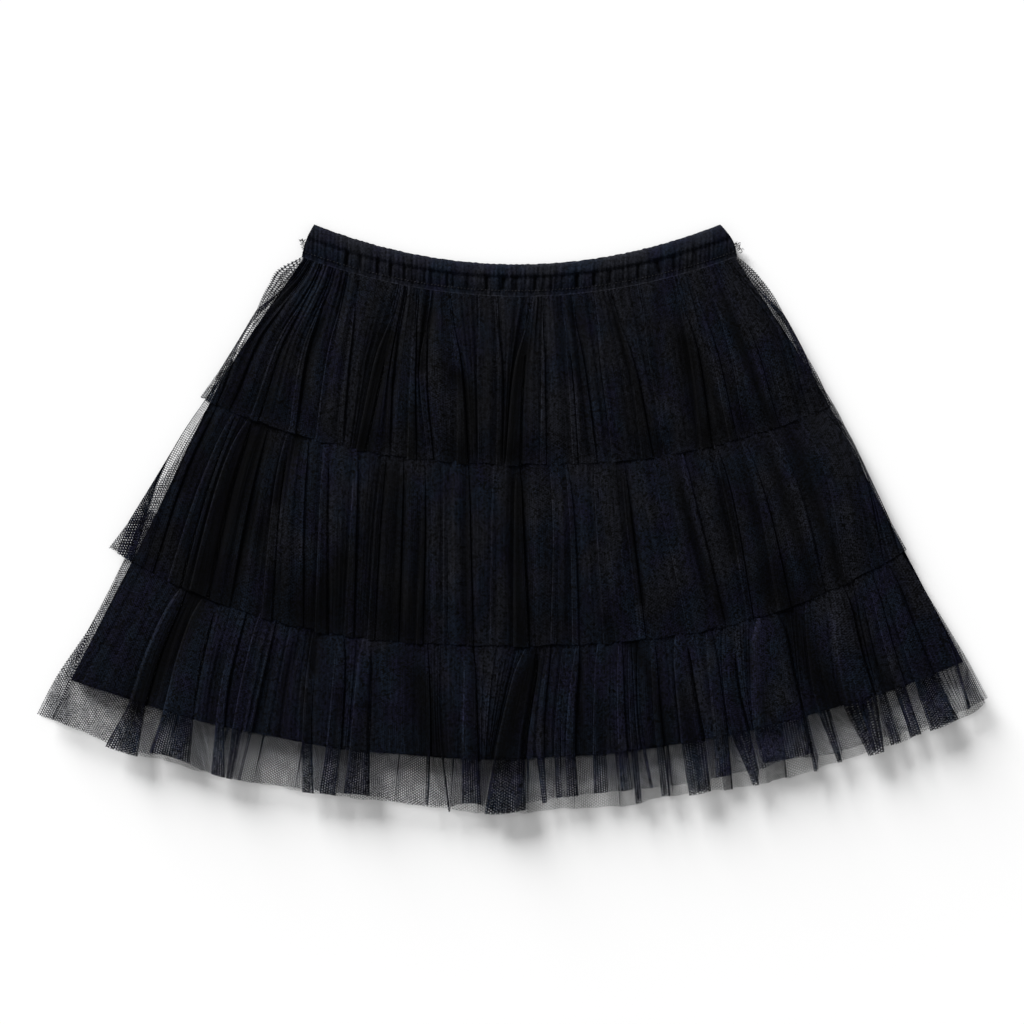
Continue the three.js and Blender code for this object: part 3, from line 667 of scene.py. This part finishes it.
class Nodes(Joined):
    """A material's node tree, with short calls that add nodes."""

    def __init__(self, name):
        self.material = bpy.data.materials.new(name)
        self.material.use_nodes = True
        self.tree = self.material.node_tree
        self.tree.nodes.clear()

    def add(self, kind, **settings):
        node = self.tree.nodes.new(kind)
        for key, value in settings.items():
            setattr(node, key, value)
        return node

    def attribute(self, name):
        return self.add("ShaderNodeAttribute", attribute_name=name).outputs["Fac"]

    def fabric(self):
        """The flat cloth's coordinates."""
        return self.add("ShaderNodeUVMap", uv_map="fabric").outputs[0]

    def place(self):
        """The object's coordinates."""
        return self.add("ShaderNodeTexCoord").outputs["Object"]

    def axes(self, vector):
        return self.fill(self.add("ShaderNodeSeparateXYZ"), Vector=vector).outputs

    def math(self, operation, *values):
        node = self.add("ShaderNodeMath", operation=operation)
        self.put_all(values, node.inputs)
        return node.outputs[0]

    def ramp(self, value, low, high, to_low=0.0, to_high=1.0):
        node = self.add("ShaderNodeMapRange")
        self.put_all((value, low, high, to_low, to_high), node.inputs)
        return node.outputs[0]

    def mix(self, share, first, second):
        node = self.add("ShaderNodeMix", data_type="RGBA")
        self.put_all((share, first, second), (node.inputs[0], node.inputs[6], node.inputs[7]))
        return node.outputs[2]

    def scaled(self, color, factor):
        node = self.add("ShaderNodeVectorMath", operation="SCALE")
        return self.fill(node, Vector=color, Scale=factor).outputs[0]

    def noise(self, vector, across, down, detail=2.0, roughness=0.5):
        """Noise over a vector, with its number of patches per metre across and down."""
        spread = self.fill(self.add("ShaderNodeMapping"), Vector=vector, Scale=(across, down, 1.0))
        node = self.add("ShaderNodeTexNoise")
        self.fill(node, Vector=spread.outputs[0], Scale=1.0, Detail=detail, Roughness=roughness)
        return node.outputs["Fac"]

    def cells(self, vector, scale):
        """A random tone for every small cell of the cloth, with its number of cells per metre."""
        node = self.fill(self.add("ShaderNodeTexVoronoi"), Vector=vector, Scale=scale)
        split = self.fill(self.add("ShaderNodeSeparateColor"), Color=node.outputs["Color"])
        return split.outputs[0]

    def cloth(self, color, roughness, specular, height, distance):
        bump = self.fill(self.add("ShaderNodeBump"), Strength=0.6, Distance=distance, Height=height)
        surface = self.add("ShaderNodeBsdfPrincipled")
        self.fill(surface, Base_Color=color, Roughness=roughness, Normal=bump.outputs[0])
        return self.fill(surface, Specular_IOR_Level=specular).outputs[0]

    def finish(self, surface):
        self.fill(self.add("ShaderNodeOutputMaterial"), Surface=surface)
        return self.material


NET_PITCH = 1.78 * MM
NET_LEVEL = -0.64
CELLS = 950.0
NET_SOFTNESS = 1.0
NET_UNEVENNESS = 0.4
NET_CLUMPS = 0.12
CROWD_CLOSES = 0.5
THREAD_GREY = (0.0069, 0.0075, 0.0106, 1)
THREAD_BLUE = (0.0038, 0.0062, 0.0118, 1)
THREAD_VIOLET = (0.0042, 0.0045, 0.0112, 1)
GRAIN_CONTRAST = 2.15
# The share of the colour left at a valley's core, where painted shade darkens it most.
VALLEY_PAINTED_SHADE = 0.11
HOLE_TONE = 0.3
BAND_TONE = 0.8
KNIT_DARK = (0.0004, 0.0005, 0.0016, 1)
KNIT_LIGHT = (0.0022, 0.0024, 0.0060, 1)
SEWING_DARK = (0.002, 0.002, 0.0035, 1)
SEWING_LIGHT = (0.0065, 0.0065, 0.009, 1)
FLOOR_COLOR = (0.9, 0.9, 0.9, 1)


def net_threads(n, uv, unevenness):
    """1 on the threads of a fine honeycomb net and 0 in its holes: three waves, 60 degrees apart.

    Where the net is gathered, its threads crowd and its holes close.
    """
    across, down, _ = n.axes(uv)
    turn = 2 * math.pi / (NET_PITCH * math.sqrt(3) / 2)
    total = n.math("MULTIPLY_ADD", n.attribute("crowd"), -CROWD_CLOSES, unevenness)
    for angle in (0.0, math.pi / 3, 2 * math.pi / 3):
        phase = n.math("MULTIPLY", across, turn * math.cos(angle))
        phase = n.math("MULTIPLY_ADD", down, turn * math.sin(angle), phase)
        total = n.math("ADD", total, n.math("COSINE", phase))
    return n.ramp(total, NET_LEVEL + NET_SOFTNESS, NET_LEVEL - NET_SOFTNESS)


def thread_color(n, uv, place, grain):
    """The tulle's colour: grey to blue in patches, streaked down the cloth, and darkened by painted shade in
    the valleys.
    """
    streaks = n.noise(uv, 430.0, 26.0, 3.0, 0.6)
    bands = n.noise(uv, 110.0, 9.0)
    patches = n.noise(place, 30.0, 19.0)
    tints = n.noise(place, 55.0, 38.0, 1.0)
    tone = n.math("MULTIPLY", n.ramp(streaks, 0.3, 0.7, 0.65, 1.35), n.ramp(bands, 0.3, 0.7, 0.8, 1.2))
    tone = n.math("MULTIPLY", tone, n.ramp(grain, 0.07, 1.0, 0.0, GRAIN_CONTRAST))
    # Painted shade: the shade attribute darkens the colour in the valleys, the waistband's crease and its
    # slots.
    tone = n.math("MULTIPLY", tone, n.ramp(n.attribute("shade"), 0.0, 1.0, VALLEY_PAINTED_SHADE, 1.0))
    blue = n.mix(n.ramp(tints, 0.4, 0.6), THREAD_VIOLET, THREAD_BLUE)
    right, up, _ = n.axes(place)
    patches = n.math("ADD", patches, n.ramp(up, -0.03, -0.12, 0.0, 0.11))
    patches = n.math("ADD", patches, n.ramp(right, -0.12, -0.2, 0.0, 0.1))
    return n.scaled(n.mix(n.ramp(patches, 0.42, 0.58), THREAD_GREY, blue), tone), streaks


def tulle_material(name):
    """Net, see-through in its holes. Over the lining, the holes show that instead."""
    n = Nodes(name)
    uv = n.fabric()
    place = n.place()
    grain = n.cells(place, CELLS)
    color, streaks = thread_color(n, uv, place, grain)
    clumps = n.ramp(n.noise(place, 330.0, 330.0, 1.0), 0.3, 0.7, -NET_CLUMPS, NET_CLUMPS)
    unevenness = n.math("ADD", clumps, n.ramp(grain, 0.0, 1.0, -NET_UNEVENNESS, NET_UNEVENNESS))
    threads = net_threads(n, uv, unevenness)
    lined = n.attribute("lined")
    edge_tone = n.ramp(threads, 0.0, 1.0, HOLE_TONE, 1.0)
    color = n.scaled(color, n.math("MAXIMUM", edge_tone, n.ramp(lined, 0.0, 1.0, 1.0, 0.0)))
    mix = n.add("ShaderNodeMixShader")
    n.put(n.math("MAXIMUM", threads, lined), mix.inputs[0])
    n.put(n.add("ShaderNodeBsdfTransparent").outputs[0], mix.inputs[1])
    n.put(n.cloth(color, 0.8, 0.04, streaks, 0.0006), mix.inputs[2])
    return n.finish(mix.outputs[0])


def band_material(name):
    """The waistband's tulle over knit, too dense to see through."""
    n = Nodes(name)
    uv = n.fabric()
    place = n.place()
    grain = n.ramp(n.cells(place, CELLS), 0.0, 1.0, 0.22, 0.78)
    color, streaks = thread_color(n, uv, place, grain)
    return n.finish(n.cloth(n.scaled(color, BAND_TONE), 0.8, 0.04, streaks, 0.0005))


def knit_material(name):
    n = Nodes(name)
    uv = n.fabric()
    grain = n.noise(uv, 700.0, 500.0, 2.0, 0.6)
    color = n.mix(n.ramp(grain, 0.3, 0.7), KNIT_DARK, KNIT_LIGHT)
    return n.finish(n.cloth(color, 0.85, 0.03, grain, 0.0003))


def thread_material(name):
    n = Nodes(name)
    twist = n.noise(n.place(), 900.0, 900.0)
    color = n.mix(n.ramp(twist, 0.3, 0.7), SEWING_DARK, SEWING_LIGHT)
    return n.finish(n.cloth(color, 0.6, 0.12, twist, 0.0002))


def floor_material(name):
    n = Nodes(name)
    surface = n.fill(n.add("ShaderNodeBsdfDiffuse"), Color=FLOOR_COLOR)
    return n.finish(surface.outputs[0])


# The camera, lights and floor

KEY_ELEVATION = 13.0
KEY_FROM = (-0.52, 0.85)
KEY_STRENGTH = 11.0
KEY_SPREAD = 29.0
SKY_STRENGTH = 0.335
FLOOR_LEVEL = -0.2 * MM
FLOOR_SIZE = 6.0


def add_camera():
    camera = add_object("camera", bpy.data.cameras.new("camera"))
    camera.data.lens = LENS
    camera.data.sensor_width = SENSOR
    camera.location = (0, FRAME_CENTRE_Y * MM, FRAME_WIDTH * MM * LENS / SENSOR)
    bpy.context.scene.camera = camera


def add_lights():
    world = bpy.data.worlds.new("soft_studio")
    world.use_nodes = True
    background = world.node_tree.nodes["Background"]
    background.inputs["Color"].default_value = (1, 1, 1, 1)
    background.inputs["Strength"].default_value = SKY_STRENGTH
    bpy.context.scene.world = world
    key = add_object("key", bpy.data.lights.new("key", "SUN"))
    key.data.energy = KEY_STRENGTH
    key.data.angle = math.radians(KEY_SPREAD)
    heading = math.atan2(KEY_FROM[0], -KEY_FROM[1])
    key.rotation_euler = (math.radians(90 - KEY_ELEVATION), 0, heading)
    bpy.context.scene.view_settings.view_transform = "Standard"


def add_floor():
    mesh = bpy.data.meshes.new("floor")
    half = FLOOR_SIZE / 2
    corners = [(-half, -half, 0), (half, -half, 0), (half, half, 0), (-half, half, 0)]
    mesh.from_pydata(corners, [], [(0, 1, 2, 3)])
    mesh.materials.append(floor_material("white_floor"))
    floor = add_object("floor", mesh)
    floor.location.z = FLOOR_LEVEL


# The skirt's pieces

def lapped_level(sections):
    """The upper tiers rise over the sewn edge of the tier below."""
    share = overlap_share(sections)

    def level(x, y, down):
        return front_level(x, y) + LAP_RISE * smooth_step(down, share - 0.16, share)

    return level


def bottom_level(x, y, down):
    return front_level(x, y) + HEM_FLARE * smooth_step(down, 0.84, 1.0)


def back_level(covered):
    """Back tiers lie on the floor, raised where they cross the tier below."""

    def level(x, y, down):
        raised = BACK_OVERLAP_RISE * (1 - smooth_step(down, covered, covered + 0.1))
        return np.full_like(x, BACK_NET_LEVEL) + raised

    return level


BACK_KNEE = 0.8
THIN_BACK_FOLDS = (
    (110, 119, 121, 1.4, 1.4, 1, 0.2, 0.4),
    (150, 166, 169.5, 1.4, 1.4, -1, 0.2, 0.6),
    (185, 207, 211, 1.4, 1.4, 1, 0.2, 0.0),
)


def back_folds(sections, count, seed, extra=()):
    """Shallow, uneven pleats for a back panel, which open out towards its hem, and any extra ones."""
    chance = random.Random(seed)
    folds = list(extra)
    for k in range(count):
        share = (k + 0.5 + chance.uniform(-0.28, 0.28)) / count
        xs = []
        for down in (0.0, BACK_KNEE, 1.0):
            section = section_at(sections, down)
            xs.append(section[0] + (section[3] - section[0]) * share)
        folds.append((*xs, chance.uniform(1.2, 2.6), 0.3, chance.choice((-1, 1)), 0.15, 0.0))
    return tuple(sorted(folds, key=lambda fold: fold[2]))


LINING_COLUMNS = 150
LINING_ROWS = 90


def lining_panel(name, level, material):
    top = np.zeros((LINING_ROWS + 1, LINING_COLUMNS + 1, 3))
    fabric = np.zeros((LINING_ROWS + 1, LINING_COLUMNS + 1, 2))
    for row in range(LINING_ROWS + 1):
        down = row / LINING_ROWS
        section = section_at(LINING, down)
        x = np.linspace(section[0], section[3], LINING_COLUMNS + 1)
        waves = 0.18 * np.sin(x / 11 + 2 * down) * (1 - down) + 0.1 * np.sin(x / 29 + 5 * down)
        top[row, :, 0] = x
        top[row, :, 1] = arc_height(section, x) + 0.5 * np.sin(x / 17) * down**8
        top[row, :, 2] = level + LINING_THICKNESS + waves
        fabric[row] = fabric_row(x, down * depth_at_middle(LINING))
    under = top - (0, 0, LINING_THICKNESS)
    return closed_sheet(name, top, under, fabric, np.ones(top.shape[:2]), material)


# The slots between the waistband's gathers: X, strength, lean to the right on the way down, and half width.
BAND_SLOTS = (
    (-126, 0.9, -4, 1.5), (-115.5, 0.6, 0, 1.2), (-103, 0.8, 0, 1.4), (-93, 0.7, 0, 1.3),
    (-82, 0.6, 0.5, 1.2), (-74, 0.4, 0, 0.9), (-67, 0.45, 0, 0.9), (-61.5, 0.6, 0, 1),
    (-55, 0.45, 0, 0.9), (-49.5, 0.7, 0, 1.1), (-45, 0.5, 0, 0.9), (-34, 0.4, 0, 0.9),
    (-19, 0.8, 0, 1.3), (-6.5, 1, -2.4, 1.7), (3, 0.8, 0, 1.3), (18, 0.9, 0, 1.4),
    (30.5, 0.6, 0, 1.1), (38.5, 0.4, 0, 0.9), (50, 1, 0.6, 1.6), (63, 1, 1, 1.6),
    (75.5, 0.7, 0, 1.2), (85.5, 0.4, 0, 0.9), (97, 0.7, 1.4, 1.3), (112, 1, 6, 1.7),
    (124, 0.7, 5, 1.5), (141, 0.4, 3, 1.3), (152, 0.3, 2, 1.2),
)
BAND_COLUMNS = 520
BAND_ROWS = 28
BAND_DEPTH = 27.0
BAND_FULLNESS = 1.4
BAND_FRONT_LEVEL = 2.9
BAND_HEIGHT = 3.2
ROLL_END = 0.4
ROLL_HEIGHT = 0.8
BAND_RIPPLE = 0.48
CREASE_WIDTH = 0.05
CREASE_DEPTH = 0.2
# Painted shade that darkens the colour along the crease under the roll.
CREASE_SHADE = 0.1
SLOT_DEPTH = 1.5
# Painted shade that darkens the colour in the slots between the gathers.
SLOT_SHADE = 0.9
LEAST_BAND_HEIGHT = 0.3


def band_profile(x, down, front):
    """Height and painted shade of the waistband: a smooth roll along its top over a row of gathers."""
    body = math.sin(math.pi * min(down, 0.86)) ** 0.4 if down > 0 else 0.0
    roll = max(0.0, 1 - (2 * down / ROLL_END - 1) ** 4) if down < ROLL_END else 0.0
    crease = math.exp(-(((down - ROLL_END - 0.02) / CREASE_WIDTH) ** 2))
    height = BAND_HEIGHT * body + ROLL_HEIGHT * roll + BAND_RIPPLE * ripples(x * 1.6, down, 5) * body
    slots = np.zeros_like(x)
    if front:
        for slot_x, strength, lean, half_width in BAND_SLOTS:
            off = x - slot_x - lean * (down - 0.5)
            slots = np.maximum(slots, strength * np.exp(-((off / half_width) ** 2)))
    reach = smooth_step(down, ROLL_END - 0.08, ROLL_END + 0.08) * (1 - smooth_step(down, 0.74, 0.9))
    slots = slots * reach
    height = np.maximum(height - SLOT_DEPTH * slots - CREASE_DEPTH * crease, LEAST_BAND_HEIGHT)
    return height, 1 - SLOT_SHADE * slots - CREASE_SHADE * crease


def waistband_half(name, level, front, material):
    top = np.zeros((BAND_ROWS + 1, BAND_COLUMNS + 1, 3))
    fabric = np.zeros((BAND_ROWS + 1, BAND_COLUMNS + 1, 2))
    shade = np.ones((BAND_ROWS + 1, BAND_COLUMNS + 1))
    for row in range(BAND_ROWS + 1):
        down = row / BAND_ROWS
        section = section_at(WAISTBAND, down)
        x = np.linspace(section[0], section[3], BAND_COLUMNS + 1)
        height, shade[row] = band_profile(x, down, front)
        top[row, :, 0] = x
        top[row, :, 1] = arc_height(section, x) + 0.35 * ripples(x * 1.2, 0, 9) * (1 - down) ** 6
        top[row, :, 2] = level + height
        fabric[row] = fabric_row(x * BAND_FULLNESS, down * BAND_DEPTH)
    under = top.copy()
    under[..., 2] = level
    return closed_sheet(name, top, under, fabric, shade, material)


# Stitches and loose threads

STITCH_ROWS = (0.82, 1.02)
STITCH_SPACING = 2.6
STITCH_LENGTH = 1.6
STITCH_WIDTH = 0.75
STITCH_INSET = 2.0
# The seam's depth, for stitches that lie below the band's edge.
SEAM_DEPTH = 26.0
TUFT_LENGTH = 3.4
TUFT_WIDTH = 0.22
# Where the side seams' ends fray: X and Y of both ends of the fray, and the number of threads.
TUFTS = ((-161.0, 216.0, -158.5, 206.0, 34), (172.0, 213.0, 177.0, 206.0, 34))


def path_object(name, points):
    mesh = bpy.data.meshes.new(name)
    edges = [(i, i + 1) for i in range(len(points) - 1)]
    mesh.from_pydata([tuple(value * MM for value in point) for point in points], edges, [])
    return add_object(name, mesh)


class Tree(Joined):
    """A geometry node tree that puts copies of a small form along a path."""

    def __init__(self, name, sizes):
        self.tree = bpy.data.node_groups.new(name, "GeometryNodeTree")
        for way in ("INPUT", "OUTPUT"):
            self.tree.interface.new_socket("Geometry", in_out=way, socket_type="NodeSocketGeometry")
        self.sizes = {}
        for key, value in sizes.items():
            kind = "NodeSocketInt" if isinstance(value, int) else "NodeSocketFloat"
            socket = self.tree.interface.new_socket(key, in_out="INPUT", socket_type=kind)
            socket.default_value = value
            self.sizes[key] = (socket.identifier, value)
        self.inputs = self.tree.nodes.new("NodeGroupInput").outputs

    def add(self, kind, settings=None, **values):
        node = self.tree.nodes.new(kind)
        for key, value in (settings or {}).items():
            setattr(node, key, value)
        return self.fill(node, **values)

    def spots(self, mode, **spread):
        """Points along the path, spread by a number or by the distance between them."""
        line = self.add("GeometryNodeMeshToCurve", Mesh=self.inputs["Geometry"])
        return self.add("GeometryNodeCurveToPoints", {"mode": mode}, Curve=line.outputs[0], **spread)

    def random_turn(self, low, high):
        vector = {"data_type": "FLOAT_VECTOR"}
        turn = self.add("FunctionNodeRandomValue", vector, Seed=self.inputs["Seed"], Min=low, Max=high)
        return turn.outputs[0]

    def math(self, operation, first, second):
        node = self.add("ShaderNodeMath", {"operation": operation})
        self.put_all((first, second), node.inputs)
        return node.outputs[0]

    def bake(self, spots, form, turn, size, path, material):
        """Copies a form to the spots on a path, makes them a plain mesh and takes the path away."""
        copies = self.add("GeometryNodeInstanceOnPoints", Points=spots.outputs["Points"], Instance=form)
        self.fill(copies, Rotation=turn, Scale=size)
        real = self.add("GeometryNodeRealizeInstances", Geometry=copies.outputs[0])
        done = self.add("GeometryNodeSetMaterial", Geometry=real.outputs[0], Material=material)
        output = self.tree.nodes.new("NodeGroupOutput")
        self.put(done.outputs[0], output.inputs[0])
        modifier = path.modifiers.new("copies", "NODES")
        modifier.node_group = self.tree
        for identifier, value in self.sizes.values():
            modifier[identifier] = value
        evaluated = path.evaluated_get(bpy.context.evaluated_depsgraph_get())
        mesh = bpy.data.meshes.new_from_object(evaluated)
        mesh.name = path.name
        path.modifiers.remove(modifier)
        path.data = mesh
        return path


def stitch_row(name, points, material):
    """Short raised stitches along a seam, each turned a little at random."""
    spacing, length, width = (size * MM for size in (STITCH_SPACING, STITCH_LENGTH, STITCH_WIDTH))
    t = Tree(name, {"Spacing": spacing, "Stitch": length, "Width": width, "Seed": 4})
    spots = t.spots("LENGTH", Length=t.inputs["Spacing"])
    form = t.add("GeometryNodeMeshUVSphere", Segments=8, Rings=5, Radius=0.5)
    size = t.add("ShaderNodeCombineXYZ", X=t.inputs["Width"], Y=t.inputs["Width"], Z=t.inputs["Stitch"])
    turned = t.add("FunctionNodeRotateRotation", {"rotation_space": "LOCAL"})
    lean = t.random_turn((-0.6, -0.6, 0), (0.6, 0.6, 0))
    t.put_all((spots.outputs["Rotation"], lean), turned.inputs)
    path = path_object(name, points)
    return t.bake(spots, form.outputs[0], turned.outputs[0], size.outputs[0], path, material)


def tuft(name, ends, count, seed, material):
    """Loose thread ends that stand out of a seam at all angles."""
    t = Tree(name, {"Threads": count, "Length": TUFT_LENGTH * MM, "Width": TUFT_WIDTH * MM, "Seed": seed})
    spots = t.spots("COUNT", Count=t.inputs["Threads"])
    bend = t.add("GeometryNodeCurveQuadraticBezier", Resolution=6)
    t.fill(bend, Start=(0, 0, 0), Middle=(0.25, 0.1, 0.55), End=(-0.2, 0.25, 1.0))
    thin = t.math("DIVIDE", t.inputs["Width"], t.inputs["Length"])
    ring = t.add("GeometryNodeCurvePrimitiveCircle", Resolution=5, Radius=thin)
    form = t.add("GeometryNodeCurveToMesh", Curve=bend.outputs[0], Profile_Curve=ring.outputs[0])
    turn = t.random_turn((1.2, 0, -3.1), (1.9, 0, 3.1))
    grow = t.add("FunctionNodeRandomValue", Seed=t.inputs["Seed"])
    grow.inputs[2].default_value = 0.35
    grow.inputs[3].default_value = 1.0
    length = t.math("MULTIPLY", grow.outputs[1], t.inputs["Length"])
    return t.bake(spots, form.outputs[0], turn, length, path_object(name, ends), material)


def seam_line(down, lift):
    section = section_at(WAISTBAND, min(down, 1.0))
    xs = np.linspace(section[0] + STITCH_INSET, section[3] - STITCH_INSET, 160)
    below = SEAM_DEPTH * max(0.0, down - 1.0)
    heights, _ = band_profile(xs, min(down, 0.97), True)
    ys = arc_height(section, xs) - below
    return [(x, y, BAND_FRONT_LEVEL + height + lift) for x, y, height in zip(xs, ys, heights)]


def build_skirt():
    tulle = tulle_material("tulle")
    band_cloth = band_material("waistband_cloth")
    knit = knit_material("lining_knit")
    thread = thread_material("sewing_thread")
    flat = {"puff": 0.1, "slack": BACK_SLACK}
    tiers = (
        ("top_tier_front", "tier_1_front", 0.13, TIER_1, TIER_1_FOLDS, TIER_1_KNEE, 64,
         lapped_level(TIER_1), {"valleys": TIER_1_VALLEYS, "seed": 3, "settled": SETTLED}),
        ("middle_tier_front", "tier_2_front", 0.175, TIER_2, TIER_2_FOLDS, TIER_2_KNEE, 72,
         lapped_level(TIER_2),
         {"valleys": TIER_2_VALLEYS, "seed": 8, "covered": COVERED, "settled": SETTLED}),
        ("bottom_tier_front", "tier_3_front", 0.158, TIER_3, TIER_3_FOLDS, TIER_3_KNEE, 72,
         bottom_level,
         {"hem": FRONT_HEM, "valleys": TIER_3_VALLEYS, "puff": 1.0, "seed": 13, "covered": COVERED}),
        ("top_tier_back", "tier_1_back", 0.13, TIER_1, back_folds(TIER_1, 16, 21), BACK_KNEE, 36,
         back_level(-1.0), {"seed": 21, **flat}),
        ("middle_tier_back", "tier_2_back", 0.175, TIER_2, back_folds(TIER_2, 18, 34), BACK_KNEE, 36,
         back_level(0.28), {"seed": 34, **flat}),
        ("bottom_tier_back", "tier_3_back", 0.158, TIER_3,
         back_folds(TIER_3, 20, 55, THIN_BACK_FOLDS), BACK_KNEE, 40,
         back_level(0.32), {"hem": BACK_HEM, "seed": 55, **flat}),
    )
    for name, node, cut_length, sections, folds, knee, rows, level, form in tiers:
        piece, cut_width = pleated_tier(name, sections, folds, knee, rows, tulle, level, **form)
        finish_piece(piece, "tulle", node)
    for name, node, level in (
        ("lining_front_panel", "lining_front", FRONT_LINING_LEVEL),
        ("lining_back_panel", "lining_back", BACK_LINING_LEVEL),
    ):
        piece = lining_panel(name, level, knit)
        finish_piece(piece, "lining_knit", node)
    for name, node, level, front in (
        ("waistband_front_half", "waistband_front", BAND_FRONT_LEVEL, True),
        ("waistband_back_half", "waistband_back", 0.0, False),
    ):
        piece = waistband_half(name, level, front, band_cloth)
        finish_piece(piece, "tulle", node)
    for number, down in enumerate(STITCH_ROWS):
        piece = stitch_row(f"waist_stitches_{number + 1}", seam_line(down, 0.05), thread)
        finish_piece(piece, "sewing_thread")
    for side, (x0, y0, x1, y1, count) in zip(("left", "right"), TUFTS):
        ends = ((x0, y0, 4.0), (x1, y1, 4.0))
        finish_piece(tuft(f"frayed_threads_{side}", ends, count, 11, thread), "sewing_thread")


def finish_piece(piece, slot, *nodes):
    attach(piece, "root")
    if nodes:
        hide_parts(*nodes)


add_camera()
add_lights()
add_floor()
build_skirt()
